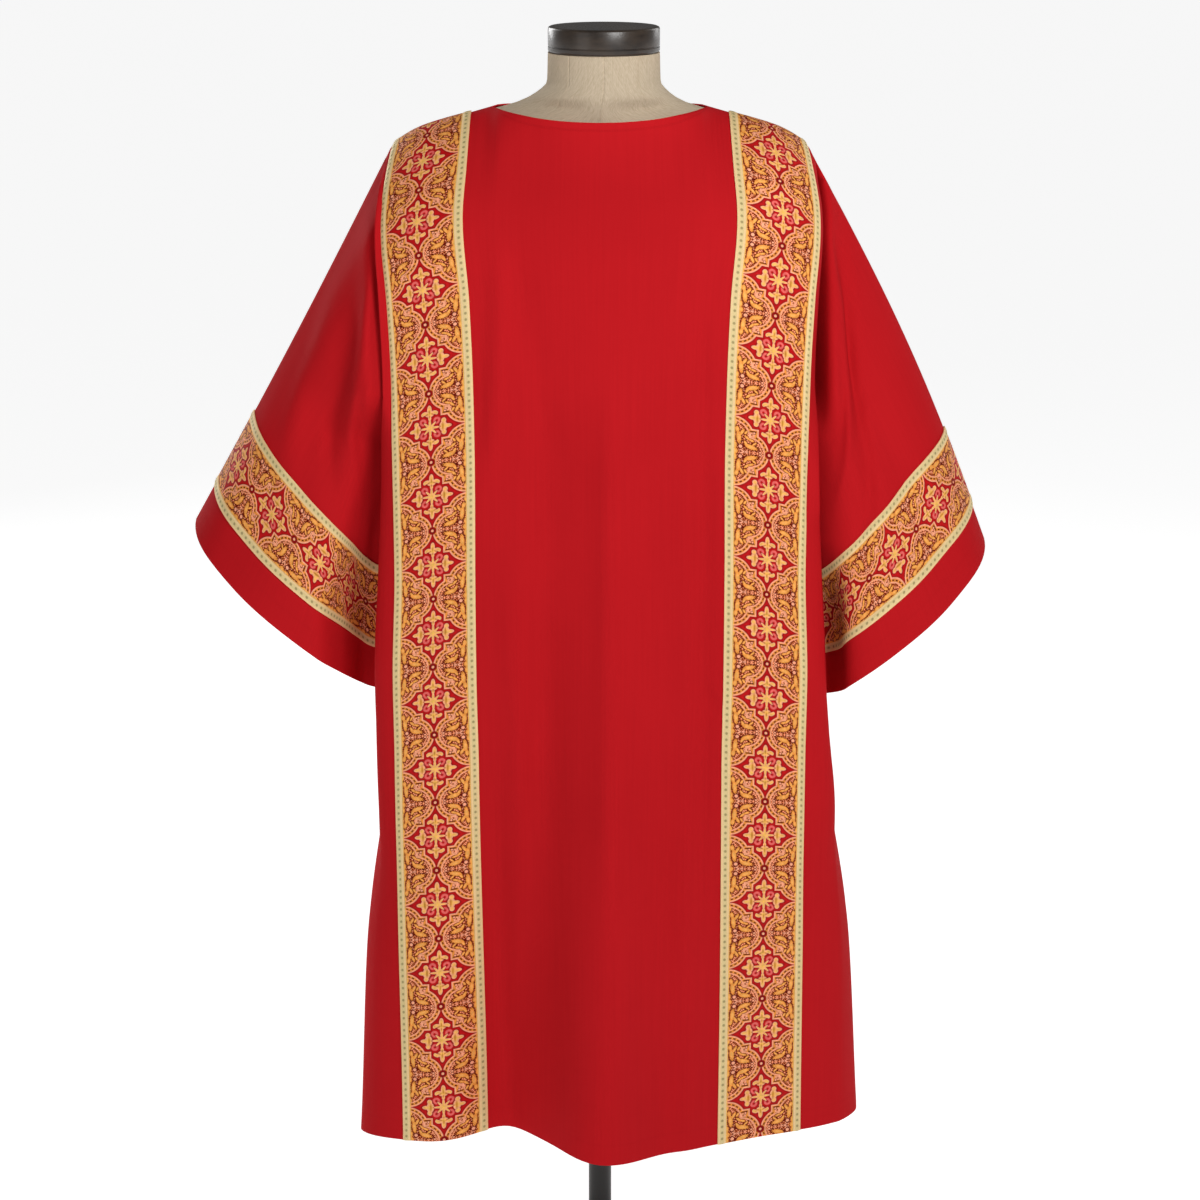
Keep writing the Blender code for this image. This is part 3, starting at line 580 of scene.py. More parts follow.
def tucked(points, side, share, sewn_z, fading=True):
    """Points by a front armhole, moved inward and back with their share of its tucks,
    and forward on the crest beside it; sewn_z is the height at which each one is sewn."""
    across, z = side * points[..., 0], points[..., 2]
    crest = np.exp(-(((across - CREST["across"]) / CREST["width"]) ** 2))
    for of_side, top, full_top, full_low, low, inward, back, near, far, forward in ARMHOLE_TUCKS:
        if of_side != side:
            continue
        reach = share * eased(sewn_z, top, full_top) * eased(z, low, full_low)
        held = reach * eased(across, far, near) if fading else reach
        points[..., 0] -= side * inward * held
        points[..., 1] += back * held
        if fading:
            points[..., 1] -= forward * reach * crest


def tuck_armholes(panels):
    """Moves the front panel's edges with the sleeves that are sewn to them."""
    sides, _, margin = panel_columns()
    for side in (-1, 1):
        columns = np.flatnonzero((sides == side) & (margin > 0))
        moved = panels["front"][:, columns]
        tucked(moved, side, np.sin(margin[columns] * np.pi / 2), moved[..., 2], fading=False)
        panels["front"][:, columns] = moved


def facing_out(points, face):
    normals = grid_normals(points)
    return -normals if face == "back" else normals


def over_the_shoulder(panels, side):
    """The panel's points under one band and its braids, from the front hem over the
    shoulder to the back hem, with their outward normals."""
    sides, across, margin = panel_columns()
    columns = np.flatnonzero((sides == side) & (margin == 0) & (across >= BAND_INNER - A_HAIR))
    front = panels["front"][:, columns]
    back = panels["back"][:, columns]
    front_normals = facing_out(panels["front"], "front")[:, columns]
    back_normals = facing_out(panels["back"], "back")[:, columns]
    ridge = (front[:1] + back[:1]) / 2
    ridge_normals = unit(front_normals[:1] + back_normals[:1])
    points = np.concatenate([front[:0:-1], ridge, back[1:]])
    normals = np.concatenate([front_normals[:0:-1], ridge_normals, back_normals[1:]])
    return points, normals


# ---------------------------------------------------------------- sleeves
def cuff_points(sleeve, angles):
    """Points of the sleeve's edge; angle 0 is the outer fold, 90 degrees the front."""
    (tip_x, tip_z), (low_x, low_z) = sleeve["tip"], sleeve["bottom"]
    power = 2 / sleeve["square"]
    cosine, sine = np.cos(angles), np.sin(angles)
    along = np.sign(cosine) * np.abs(cosine) ** power
    deep = np.sign(sine) * np.abs(sine) ** power
    x = (tip_x + low_x) / 2 + along * (tip_x - low_x) / 2
    z = (tip_z + low_z) / 2 + along * (tip_z - low_z) / 2 - sleeve["sag"] * np.abs(deep)
    return np.stack([sleeve["side"] * x, -sleeve["deep"] * deep, z], axis=-1)


def armhole_ring(panels, side):
    """The armhole's points from the shoulder by the front and the underarm to the
    back, with the panels' outward normals there."""
    column = -1 if side > 0 else 0
    last = np.flatnonzero(panel_drops() >= UNDERARM_DROP)[0]
    parts = []
    for grid in (panels, {face: facing_out(panels[face], face) for face in panels}):
        front = grid["front"][: last + 1, column].copy()
        back = grid["back"][: last + 1, column]
        front[[0, -1]] = (front[[0, -1]] + back[[0, -1]]) / 2
        parts.append(np.concatenate([front, back[-2:0:-1]]))
    return parts[0], unit(parts[1]), last


def square_to(vectors, axes):
    """The vectors without what runs along the axes, at length 1."""
    return unit(vectors - (vectors * axes).sum(axis=1, keepdims=True) * axes)


def sewn_to(seam, normals, side, cuff):
    """The sleeve's top edge, set beside the armhole's edge where the cloth runs on,
    and over the armhole's outer face where the sleeve folds back on it."""
    along = unit(np.roll(seam, -1, axis=0) - np.roll(seam, 1, axis=0))
    normals = square_to(normals, along)
    leaving = np.cross(along, normals)
    if leaving[0, 0] * side < 0:
        leaving = -leaving
    sleeve_way = square_to(cuff - seam, along)
    ahead = (sleeve_way * leaving).sum(axis=1)[:, None]
    outward = (sleeve_way * normals).sum(axis=1)[:, None]
    beside = SEAM_GAP + PANEL_WALL / 2 * np.abs(outward)
    over = (PANEL_WALL + SEAM_GAP) * np.clip(-FOLD_BACK * ahead, 0, 1)
    return seam + leaving * beside + normals * over


def respaced(ring, walk, angles):
    """A closed ring's values at these angles, from its own uneven spacing."""
    closed = np.concatenate([ring, ring[:1]])
    return np.stack([np.interp(angles, walk, closed[:, i]) for i in range(3)], axis=-1)


def sleeve_rows(length):
    """How far up from its edge each row of a sleeve lies, on columns of this length."""
    margin = np.linspace(0.0, CUFF_MARGIN, SLEEVE_MARGIN_ROWS + 1)[:-1]
    fixed = np.concatenate([margin, band_steps(CUFF_MARGIN)])
    top_of_band = CUFF_MARGIN + BAND_WIDTH
    up = (np.arange(SLEEVE_UPPER_ROWS) + 1) / SLEEVE_UPPER_ROWS
    return np.concatenate([
        np.broadcast_to(fixed[:, None, None], (len(fixed), *length.shape)),
        top_of_band + (length - top_of_band) * up[:, None, None],
    ])


def folded(degrees, share):
    """How far the sleeve's folds stand out at these angles and shares of the way up."""
    folds = sum(out * np.exp(-(((degrees - place) / width) ** 2)) for place, width, out in SLEEVE_FOLDS)
    at_edge = SLEEVE_FOLDS_LEFT + (1 - SLEEVE_FOLDS_LEFT) * eased(share, *SLEEVE_FOLDS_EDGE)
    return folds * (eased(share, *SLEEVE_FOLDS_START) * at_edge)


def pressed(name, degrees, share):
    """How far the sleeve's creases stand out at these angles and shares of the way up."""
    out = np.zeros_like(share)
    for angle_top, share_top, angle_low, share_low, width, depth in SLEEVE_CREASES[name]:
        along = (share - share_top) / (share_low - share_top)
        line_at = angle_top + (angle_low - angle_top) * np.clip(along, 0, 1)
        out += depth * faded(along, "sleeve") * np.exp(-(((degrees - line_at) / width) ** 2))
    return out


def draw_corner_back(grid, side, front):
    """Moves the low inner corner of a sleeve's front back and down."""
    corner = CORNERS[side]
    reach = front * eased(grid[..., 2], corner["top"], corner["full"])
    reach = reach * eased(side * grid[..., 0], corner["far"], corner["near"])
    drawn_back = -grid[..., 1] * corner["share"] * reach
    grid[..., 1] += drawn_back
    grid[..., 2] -= CORNER_SAG * drawn_back


def closed_ring(grid):
    return np.concatenate([grid, grid[:, :1]], axis=1)


def sleeve_points(panels, name):
    """The sleeve's fine grid: rows from its edge up to the armhole, columns round it
    from the outer fold by the front. The last column is the first."""
    sleeve = SLEEVES[name]
    side = sleeve["side"]
    seam, normals, last = armhole_ring(panels, side)
    walk = walked(np.concatenate([seam, seam[:1]]))
    angle_of = np.pi * walk / walk[last]
    seam = sewn_to(seam, normals, side, cuff_points(sleeve, angle_of[:-1]))
    angles = np.linspace(0, angle_of[-1], SLEEVE_ROUND + 1)[:-1]
    degrees = np.degrees(angles)
    seam = respaced(seam, angle_of, angles)
    cuff = cuff_points(sleeve, angles)
    length = np.linalg.norm(cuff - seam, axis=1)[:, None]
    share = sleeve_rows(length) / length
    grid = cuff + (seam - cuff) * share
    share = share[..., 0]

    belly = np.sin(np.pi * np.clip(share, 0, 1))
    outer = np.exp(-((np.minimum(angles, 2 * np.pi - angles) / BOW_REACH) ** 2))
    grid[..., 0] += side * sleeve["bow"] * belly * outer
    under = eased(np.abs(degrees - 180), UNDERARM_END, UNDERARM_FULL)
    below_seam = eased(share, *UNDERARM_FALL) * eased(share, *UNDERARM_RISE)
    grid[..., 0] += side * UNDERARM_SPREAD * under * below_seam
    normals = ring_normals(closed_ring(grid), side)[:, :-1]
    grid = grid + normals * folded(degrees, share)[..., None]
    grid = grid + normals * pressed(name, degrees, share)[..., None]
    front = degrees < 180
    tucked(grid, side, front * eased(share, *TUCK_SHARES), seam[:, 2])
    draw_corner_back(grid, side, front)
    return closed_ring(grid)


def ring_normals(points, side):
    """Outward normals of a closed ring grid whose last column is its first."""
    wrapped = np.concatenate([points[:, -2:-1], points, points[:, 1:2]], axis=1)
    normals = grid_normals(wrapped)[:, 1:-1]
    return normals if (normals[0, 0, 0] > 0) == (side > 0) else -normals


# ---------------------------------------------------------------- cloth meshes
def on_whole_mesh(operator, **settings):
    """Runs an edit mode operator on all of the active piece, and leaves edit mode."""
    bpy.ops.object.mode_set(mode="EDIT")
    bpy.ops.mesh.select_all(action="SELECT")
    operator(**settings)
    bpy.ops.object.mode_set(mode="OBJECT")


def grid_object(name, points, maps, ring=False):
    """A mesh grid over the points, with a UV map for each (u, v) grid in maps. On a
    ring the last column closes on the first."""
    rows, columns = points.shape[:2]
    bpy.ops.object.select_all(action="DESELECT")
    bpy.ops.mesh.primitive_grid_add(x_subdivisions=columns - 1, y_subdivisions=rows - 1, size=2)
    piece = bpy.context.object
    piece.name = piece.data.name = name
    mesh = piece.data
    flat = np.empty(len(mesh.vertices) * 3, np.float32)
    mesh.vertices.foreach_get("co", flat)
    flat = flat.reshape(-1, 3)
    column = np.rint((flat[:, 0] + 1) / 2 * (columns - 1)).astype(int)
    row = np.rint((flat[:, 1] + 1) / 2 * (rows - 1)).astype(int)
    mesh.vertices.foreach_set("co", points[row, column].astype(np.float32).reshape(-1))
    corner = np.empty(len(mesh.loops), np.int32)
    mesh.loops.foreach_get("vertex_index", corner)
    while mesh.uv_layers:
        mesh.uv_layers.remove(mesh.uv_layers[0])
    for map_name, (u, v) in maps.items():
        layer = mesh.uv_layers.new(name=map_name)
        places = np.stack([u[row, column], v[row, column]], axis=1)[corner]
        layer.data.foreach_set("uv", places.astype(np.float32).reshape(-1))
    mesh.update()
    if ring:
        on_whole_mesh(bpy.ops.mesh.remove_doubles, threshold=A_HAIR)
    return piece


def cloth_piece(name, points, maps, wall, material, ring=False):
    """A cloth shell with half its thickness on each side, in place of its solid."""
    piece = grid_object(f"{name}_cloth", points, maps, ring)
    thickness = piece.modifiers.new("Cloth thickness", "SOLIDIFY")
    thickness.thickness = wall
    thickness.offset = 0.0
    thickness.use_even_offset = False
    piece.data.materials.append(material)
    bpy.ops.object.modifier_apply(modifier=thickness.name)
    bpy.ops.object.shade_smooth_by_angle(angle=math.radians(CLOTH_SMOOTH))
    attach(piece, "root")
    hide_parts(name)
    return piece


def crowned(points, normals, rise):
    """A strip's points raised along its middle, as a thick braid lies."""
    columns = points.shape[1]
    profile = np.sin(np.pi * np.linspace(0, 1, columns)) * rise
    return points + normals * profile[None, :, None]


def drawn_in(points, gap):
    """A strip of points with both of its long edges drawn in."""
    points = points.copy()
    points[:, 0] += unit(points[:, 1] - points[:, 0]) * gap
    points[:, -1] += unit(points[:, -2] - points[:, -1]) * gap
    return points


# ---------------------------------------------------------------- materials
class Finish:
    """One Principled material and the nodes that drive it."""

    def __init__(self, name, roughness, **sockets):
        self.material = bpy.data.materials.new(name)
        self.material.use_nodes = True
        self.tree = self.material.node_tree
        self.shader = self.tree.nodes["Principled BSDF"]
        self.shader.inputs["Roughness"].default_value = roughness
        for socket, value in sockets.items():
            self.shader.inputs[socket.replace("_", " ")].default_value = value

    def add(self, kind, inputs=(), **settings):
        node = self.tree.nodes.new(kind)
        for key, value in settings.items():
            setattr(node, key, value)
        for socket, value in dict(inputs).items():
            self.put(node.inputs[socket], value)
        return node

    def put(self, socket, value):
        if isinstance(value, bpy.types.NodeSocket):
            self.tree.links.new(value, socket)
        else:
            socket.default_value = value

    def maths(self, operation, *values, clamp=False):
        node = self.add("ShaderNodeMath", operation=operation, use_clamp=clamp)
        for socket, value in zip(node.inputs, values):
            self.put(socket, value)
        return node.outputs[0]

    def plus(self, first, second):
        return self.maths("ADD", first, second)

    def minus(self, first, second, clamp=False):
        return self.maths("SUBTRACT", first, second, clamp=clamp)

    def times(self, first, second):
        return self.maths("MULTIPLY", first, second)

    def larger(self, first, second):
        return self.maths("MAXIMUM", first, second)

    def uv(self, name):
        node = self.add("ShaderNodeUVMap", uv_map=name)
        split = self.add("ShaderNodeSeparateXYZ", {"Vector": node.outputs[0]})
        return split.outputs["X"], split.outputs["Y"]

    def point(self, x, y, z=0.0):
        return self.add("ShaderNodeCombineXYZ", {"X": x, "Y": y, "Z": z}).outputs[0]

    def place(self, scale):
        """Object coordinates, scaled."""
        where = self.add("ShaderNodeTexCoord").outputs["Object"]
        return self.add("ShaderNodeMapping", {"Vector": where, "Scale": scale}).outputs[0]

    def noise(self, vector, scale, detail=3.0, roughness=0.5):
        inputs = {"Vector": vector, "Scale": scale, "Detail": detail, "Roughness": roughness}
        return self.add("ShaderNodeTexNoise", inputs).outputs["Fac"]

    def share_of(self, point, across, along, offset):
        inputs = {0: point, 1: (across, along, offset)}
        return self.add("ShaderNodeVectorMath", inputs, operation="DOT_PRODUCT").outputs["Value"]

    def oval(self, point, place, half, turn=0.0):
        """The square of how far a point (x, y, 1) is from an oval's middle: 1 on its
        edge. Vectors in and numbers out keep the shader's stack small."""
        cosine, sine = math.cos(math.radians(turn)), math.sin(math.radians(turn))
        first = (cosine / half[0], sine / half[0])
        second = (-sine / half[1], cosine / half[1])
        x, y = (self.share_of(point, *way, -way[0] * place[0] - way[1] * place[1])
                for way in (first, second))
        return self.maths("MULTIPLY_ADD", x, x, self.times(y, y))

    def ramp(self, value, low, high, from_value=0.0, to_value=1.0):
        inputs = {"Value": value, "From Min": low, "From Max": high,
                  "To Min": from_value, "To Max": to_value}
        return self.add("ShaderNodeMapRange", inputs).outputs["Result"]

    def mix(self, share, first, second):
        """A number between two others."""
        node = self.add("ShaderNodeMix", {"Factor": share}, data_type="FLOAT")
        self.put(node.inputs[2], first)
        self.put(node.inputs[3], second)
        return node.outputs[0]

    def blend(self, share, first, second):
        node = self.add("ShaderNodeMix", data_type="RGBA")
        self.put(node.inputs["Factor"], share)
        self.put(node.inputs[6], first)
        self.put(node.inputs[7], second)
        return node.outputs[2]

    def shade(self, colour, amount):
        """A colour made lighter or darker by a factor."""
        inputs = {0: colour, "Scale": amount}
        return self.add("ShaderNodeVectorMath", inputs, operation="SCALE").outputs[0]

    def colour(self, value):
        self.put(self.shader.inputs["Base Color"], value)

    def rough(self, value):
        self.put(self.shader.inputs["Roughness"], value)

    def bump(self, height, distance, strength=1.0):
        inputs = {"Height": height, "Distance": distance, "Strength": strength}
        node = self.add("ShaderNodeBump", inputs)
        self.put(self.shader.inputs["Normal"], node.outputs[0])


# Colours, as linear red, green, blue.
RED_DEEP = (0.475, 0.0085, 0.0125, 1)
RED_BRIGHT = (0.525, 0.0100, 0.0145, 1)
SATIN_RED = (0.520, 0.0080, 0.0095, 1)
SATIN_DEEP = (0.130, 0.0030, 0.0010, 1)
CROSS_GOLD = (0.930, 0.5000, 0.1150, 1)
LEAF_ORANGE = (0.760, 0.1750, 0.0480, 1)
LEAF_YELLOW = (0.960, 0.4900, 0.1300, 1)
SATIN_SHADE = (0.270, 0.0040, 0.0050, 1)
CROSS_DEEP = (0.520, 0.1500, 0.0150, 1)
LEAF_GOLD = (0.860, 0.3000, 0.0550, 1)
CURL_PINK = (0.880, 0.1700, 0.1500, 1)
SALMON = (0.980, 0.4100, 0.2400, 1)
BRAID_GOLD = (0.780, 0.6100, 0.3000, 1)
BRAID_EDGE = (0.940, 0.6600, 0.3300, 1)
BRAID_OLIVE = (0.270, 0.2000, 0.0700, 1)
LINEN_PALE = (0.640, 0.5300, 0.3900, 1)
LINEN_DARK = (0.470, 0.3700, 0.2500, 1)
WOOD_DARK = (0.018, 0.0120, 0.0085, 1)
WOOD_LIGHT = (0.040, 0.0270, 0.0180, 1)
PAINT_DARK = (0.017, 0.0150, 0.0135, 1)
PAINT_WORN = (0.027, 0.0245, 0.0220, 1)

# ---------------------------------------------------------------- red cloth
THREAD = 0.0007
RED_CLOUDS = 5.0
SLUB_ACROSS = 420.0
SLUB_ALONG = 7.0
# How far stitches lie from the hem or sleeve edge and from the neckline, and the
# length and half width of one.
HEM_STITCHES = 0.025
NECK_STITCHES = 0.009
STITCH_LENGTH = 0.0030
STITCH_HALF_WIDTH = 0.0004
GROOVE_HALF_WIDTH = 0.0012
GROOVE_SOFTNESS = 0.002
HEM_ROW_SHARE = 0.30
# how far the red is darkened in the stitch grooves: painted shade
GROOVE_PAINTED_SHADE = 0.90
RED_TONE = {"cloud": 0.60, "slub": 0.40, "deep": 0.32, "bright": 0.68}
STITCH_ENDS = (-0.55, -0.25)
RED_RELIEF = {"weave": 0.35, "slub": 0.35, "thread": 1.6, "groove": 1.8}


def wave(f, value, length):
    """A sine along a length, from -1 to 1."""
    return f.maths("SINE", f.times(value, 2 * math.pi / length))


def line(f, distance, at, half, soft=0.35):
    """1 on a line where the distance is near at, and 0 away from it."""
    off = f.maths("ABSOLUTE", f.minus(distance, at))
    return f.ramp(off, half - soft / 2, half + soft / 2, 1.0, 0.0)


def inside(f, distance, at, soft=0.35):
    return f.ramp(distance, at - soft / 2, at + soft / 2, 1.0, 0.0)


def stitch_rows(f, half_width, softness):
    """1 on a line inside the neckline, and faint on one above the hem and the sleeve
    edges."""
    from_hem, from_neck = f.uv("edges")
    hem_row = f.times(line(f, from_hem, HEM_STITCHES, half_width, softness), HEM_ROW_SHARE)
    return f.larger(hem_row, line(f, from_neck, NECK_STITCHES, half_width, softness))


def red_cloth():
    """Smooth plain-woven red cloth, with a line of stitches inside the neckline and
    above the turned hem and sleeve edges."""
    f = Finish("red_cloth", roughness=0.75, Specular_IOR_Level=0.03)
    u, v = f.uv("cloth")
    cloud = f.noise(f.point(u, v), RED_CLOUDS, detail=3.0)
    down_threads = f.point(f.times(u, SLUB_ACROSS), f.times(v, SLUB_ALONG))
    slub = f.noise(down_threads, 1.0, detail=2.0)
    tone = f.plus(f.times(cloud, RED_TONE["cloud"]), f.times(slub, RED_TONE["slub"]))
    red = f.blend(f.ramp(tone, RED_TONE["deep"], RED_TONE["bright"]), RED_DEEP, RED_BRIGHT)

    stitch = f.ramp(wave(f, u, STITCH_LENGTH), *STITCH_ENDS)
    thread = f.times(stitch_rows(f, STITCH_HALF_WIDTH, STITCH_HALF_WIDTH), stitch)
    groove = stitch_rows(f, GROOVE_HALF_WIDTH, GROOVE_SOFTNESS)
    # the red is darkened along the stitch grooves, painted shade, and less on the raised stitches
    f.colour(f.shade(red, f.ramp(f.minus(groove, thread), 0.0, 1.0, 1.0, GROOVE_PAINTED_SHADE)))

    weave = f.times(wave(f, u, THREAD), wave(f, v, THREAD))
    height = f.plus(f.times(weave, RED_RELIEF["weave"]), f.times(slub, RED_RELIEF["slub"]))
    height = f.plus(height, f.times(thread, RED_RELIEF["thread"]))
    height = f.minus(height, f.times(groove, RED_RELIEF["groove"]))
    f.bump(height, distance=0.00014, strength=0.6)
    return f.material


# ---------------------------------------------------------------- brocade
# One quarter of the brocade's repeat, in millimetres from the middle of a cross.
BAND_REPEAT = 0.0815
CROSS_OVALS = (
    # across along half_across half_along turn
    (0.0, 0.0, 4.4, 4.4, 0),
    (5.0, 0.0, 6.2, 1.4, 0),
    (0.0, 4.5, 1.5, 6.0, 0),
    (3.6, 3.6, 4.6, 1.2, 45),
    (0.0, 11.6, 1.8, 3.0, 0),
    (0.0, 16.8, 5.2, 3.9, 0),
    (6.0, 17.9, 3.4, 2.2, -16),
    (8.0, 16.9, 1.7, 2.1, 0),
    (0.0, 21.4, 2.6, 5.4, 0),
    (14.9, 0.0, 4.3, 6.2, 0),
    (15.6, 6.9, 2.9, 3.0, 0),
    (19.8, 0.0, 4.6, 2.3, 0),
)
CROSS_SHADOWS = (
    # the same columns as the cross's, in this table and the two after it
    (0.0, 18.6, 0.9, 2.8, 0),
    (3.4, 16.2, 2.4, 0.9, -24),
    (0.0, 13.2, 0.9, 1.6, 0),
    (14.4, 0.0, 1.3, 5.2, 0),
    (11.4, 0.0, 1.1, 1.0, 0),
)
LEAVES = (
    (20.6, 34.4, 7.4, 2.8, -14),
    (26.6, 30.6, 3.4, 1.7, -50),
    (34.6, 24.4, 2.9, 7.6, 6),
    (36.6, 15.6, 2.4, 3.8, 12),
    (31.0, 18.4, 1.8, 4.6, -30),
    (38.6, 34.0, 2.0, 3.4, 0),
    (38.4, 40.7, 3.0, 3.2, 0),
    (25.4, 24.2, 3.7, 1.6, -40),
    (20.6, 26.6, 3.4, 1.5, -18),
    (26.4, 18.0, 1.5, 3.2, -35),
    (38.6, 8.0, 1.7, 3.0, -20),
    (16.8, 30.4, 3.4, 1.3, 38),
)
BEADS = (
    (0.0, 40.75, 1.6, 1.6, 0),
    (32.6, 35.0, 2.1, 1.9, 0),
    (10.4, 39.2, 1.3, 1.0, 0),
    (25.8, 40.75, 2.0, 0.9, 0),
    (30.6, 39.6, 2.6, 0.8, -24),
    (17.4, 17.8, 1.2, 1.2, 0),
)
# The ring where two medallions meet, the circles and the step of their outline, and
# the curl between a cross's arms.
EYE = {"place": (0.0, 40.75), "radius": 4.8, "soft": 1.5}
RING = {"place": (22.8, 41.0), "radius": 22.0}
SIDE_RING = {"place": (40.5, 23.5), "radius": 22.6}
STEP = {"place": (19.6, 20.2), "half": 6.6}
CURL = {"place": (8.0, 8.0), "radius": 2.8, "half": 1.3, "soft": 0.9, "share": 0.8}
# How far outside the outline each line lies, and its half width; inside is negative.
OUTER_LINE = {"at": -0.2, "half": 0.80}
OUTER_SHADE = 3.0
INNER_LINE = {"at": -4.7, "half": 0.75}
RING_LINE = {"at": -7.6, "half": 0.45, "reach": 15.0}
LANE = {"at": -2.4, "half": 1.45}
DASHES = {"at": -2.5, "half": 0.70, "round": 24.0, "gap": -0.20}
FILLING_START = -5.2
SELVEDGE = (38.9, 39.2)
SCALLOP = {"across": 2.1, "along": 1.9, "size": 0.16}
CURLS = {"across": 1.45, "along": 1.60, "bend": 1.6}
CURL_BENDS = {"across": 0.8, "along": 0.7}
CURL_FILLING = (-0.22, 0.0)
CURL_GLINT = (0.30, 0.60)
# Where each layer of the ovals ends, as a share of their own size, and how softly.
LEAF_SHADE = (1.32, 0.16)
LEAF_EDGE = (0.98, 0.14)
LEAF_LIGHT = (0.55, 0.50)
LEAF_LIGHT_SHARE = 0.75
CROSS_SHADE = (1.30, 0.40)
CROSS_EDGE = (1.00, 0.12)
CROSS_PALE_RIM = (0.40, 0.90)
CROSS_SHADOW_EDGE = (0.90, 0.80)
CROSS_SHADOW_SHARE = 0.75
BEAD_SHADE = (1.45, 0.20)
BEAD_EDGE = (1.00, 0.25)
# The brocade's threads: their length and slant, how much random tone and painted sheen
# show in their colour, and how rough the satin ground and the gold figures are.
FLOAT_LENGTH = 0.0008
FLOAT_SLANT = 0.35
BROCADE_PATCHES = 240.0
BROCADE_GRAIN = 900.0
BROCADE_RELIEF = {"floats": 0.22, "grain": 0.50}
BROCADE_TONE_AND_SHEEN = {"floats": 0.07, "grain": 0.45, "patches": 0.80, "least": 0.38}
SATIN_ROUGHNESS = 0.50
GOLD_ROUGHNESS = 0.38
GOLD_METALLIC = 0.10


def nearest_oval(f, point, table):
    """How far a point is from the nearest of some ovals, joined one at a time."""
    result = None
    for across, along, half_across, half_along, turn in table:
        away = f.oval(point, (across, along), (half_across, half_along), turn)
        result = away if result is None else f.maths("MINIMUM", result, away)
    return f.maths("SQRT", result)


def ring_distance(f, point, ring):
    away = f.maths("SQRT", f.oval(point, ring["place"], (1.0, 1.0)))
    return f.minus(away, ring["radius"])


def angle_about(f, across, along, place):
    up = f.minus(along, place[1])
    return f.maths("ARCTAN2", up, f.minus(across, place[0]))


def quarter_place(f, u, v):
    """Millimetres across and along from the nearest cross, both positive."""
    across = f.times(f.maths("ABSOLUTE", u), MM)
    turns = f.maths("DIVIDE", v, BAND_REPEAT)
    off = f.minus(turns, f.maths("ROUND", turns))
    along = f.times(f.maths("ABSOLUTE", off), BAND_REPEAT * MM)
    return across, along


def add_frame(f, point, across, along, colour, figure):
    """The medallions' stepped outline: two pale lines with a gold lane of dark dashes
    between them. Returns how far a point is from the outline too."""
    ring = ring_distance(f, point, RING)
    side = ring_distance(f, point, SIDE_RING)
    on_ring = f.maths("LESS_THAN", ring, side)
    step_across = f.maths("ABSOLUTE", f.minus(across, STEP["place"][0]))
    step_along = f.maths("ABSOLUTE", f.minus(along, STEP["place"][1]))
    step = f.minus(f.larger(step_across, step_along), STEP["half"])
    outline = f.maths("MINIMUM", f.maths("MINIMUM", ring, side), step)
    colour = f.blend(f.ramp(outline, 0.0, OUTER_SHADE, 1.0, 0.0), colour, SATIN_SHADE)
    colour = f.blend(inside(f, outline, 0.0), colour, SATIN_DEEP)
    lane = line(f, outline, LANE["at"], LANE["half"])
    ring_angle = angle_about(f, across, along, RING["place"])
    side_angle = angle_about(f, across, along, SIDE_RING["place"])
    turned = f.times(f.mix(on_ring, side_angle, ring_angle), DASHES["round"])
    dash = f.maths("GREATER_THAN", f.maths("SINE", turned), DASHES["gap"])
    dash = f.times(dash, line(f, outline, DASHES["at"], DASHES["half"]))
    lane = f.minus(lane, dash, clamp=True)
    colour = f.blend(lane, colour, LEAF_GOLD)
    third = line(f, ring, RING_LINE["at"], RING_LINE["half"])
    third = f.times(third, inside(f, across, RING_LINE["reach"]))
    lines = f.larger(line(f, outline, OUTER_LINE["at"], OUTER_LINE["half"]),
                     line(f, outline, INNER_LINE["at"], INNER_LINE["half"]))
    lines = f.larger(lines, third)
    colour = f.blend(lines, colour, SALMON)
    figure = f.larger(figure, f.larger(lane, lines))
    eye = inside(f, ring_distance(f, point, EYE), 0.0, EYE["soft"])
    colour = f.blend(eye, colour, SATIN_SHADE)
    return outline, colour, f.minus(figure, eye, clamp=True)


def add_leaves(f, point, across, along, outline, colour, figure):
    """Gold leaves with dark outlines, over a filling of small orange curls."""
    within = inside(f, outline, FILLING_START)
    bend_across = f.maths("SINE", f.times(along, CURL_BENDS["across"]))
    bend_along = f.maths("SINE", f.times(across, CURL_BENDS["along"]))
    curl_across = f.maths("MULTIPLY_ADD", across, CURLS["across"],
                          f.times(bend_across, CURLS["bend"]))
    curl_along = f.maths("MULTIPLY_ADD", along, CURLS["along"],
                         f.times(bend_along, CURLS["bend"]))
    curls = f.times(f.maths("SINE", curl_across), f.maths("SINE", curl_along))
    filling = f.times(f.ramp(curls, *CURL_FILLING), within)
    colour = f.blend(filling, colour, LEAF_ORANGE)
    glint = f.times(f.ramp(curls, *CURL_GLINT), within)
    colour = f.blend(glint, colour, SALMON)

    scallops = f.times(f.maths("SINE", f.times(across, SCALLOP["across"])),
                       f.maths("SINE", f.times(along, SCALLOP["along"])))
    leaves = f.maths("MULTIPLY_ADD", scallops, SCALLOP["size"], nearest_oval(f, point, LEAVES))
    shade = f.times(inside(f, leaves, *LEAF_SHADE), within)
    colour = f.blend(shade, colour, SATIN_DEEP)
    leaf = f.times(inside(f, leaves, *LEAF_EDGE), within)
    colour = f.blend(leaf, colour, LEAF_GOLD)
    light = f.times(inside(f, leaves, *LEAF_LIGHT), within)
    colour = f.blend(f.times(light, LEAF_LIGHT_SHARE), colour, LEAF_YELLOW)
    figure = f.larger(figure, filling)
    figure = f.larger(f.minus(figure, shade, clamp=True), leaf)
    return colour, figure


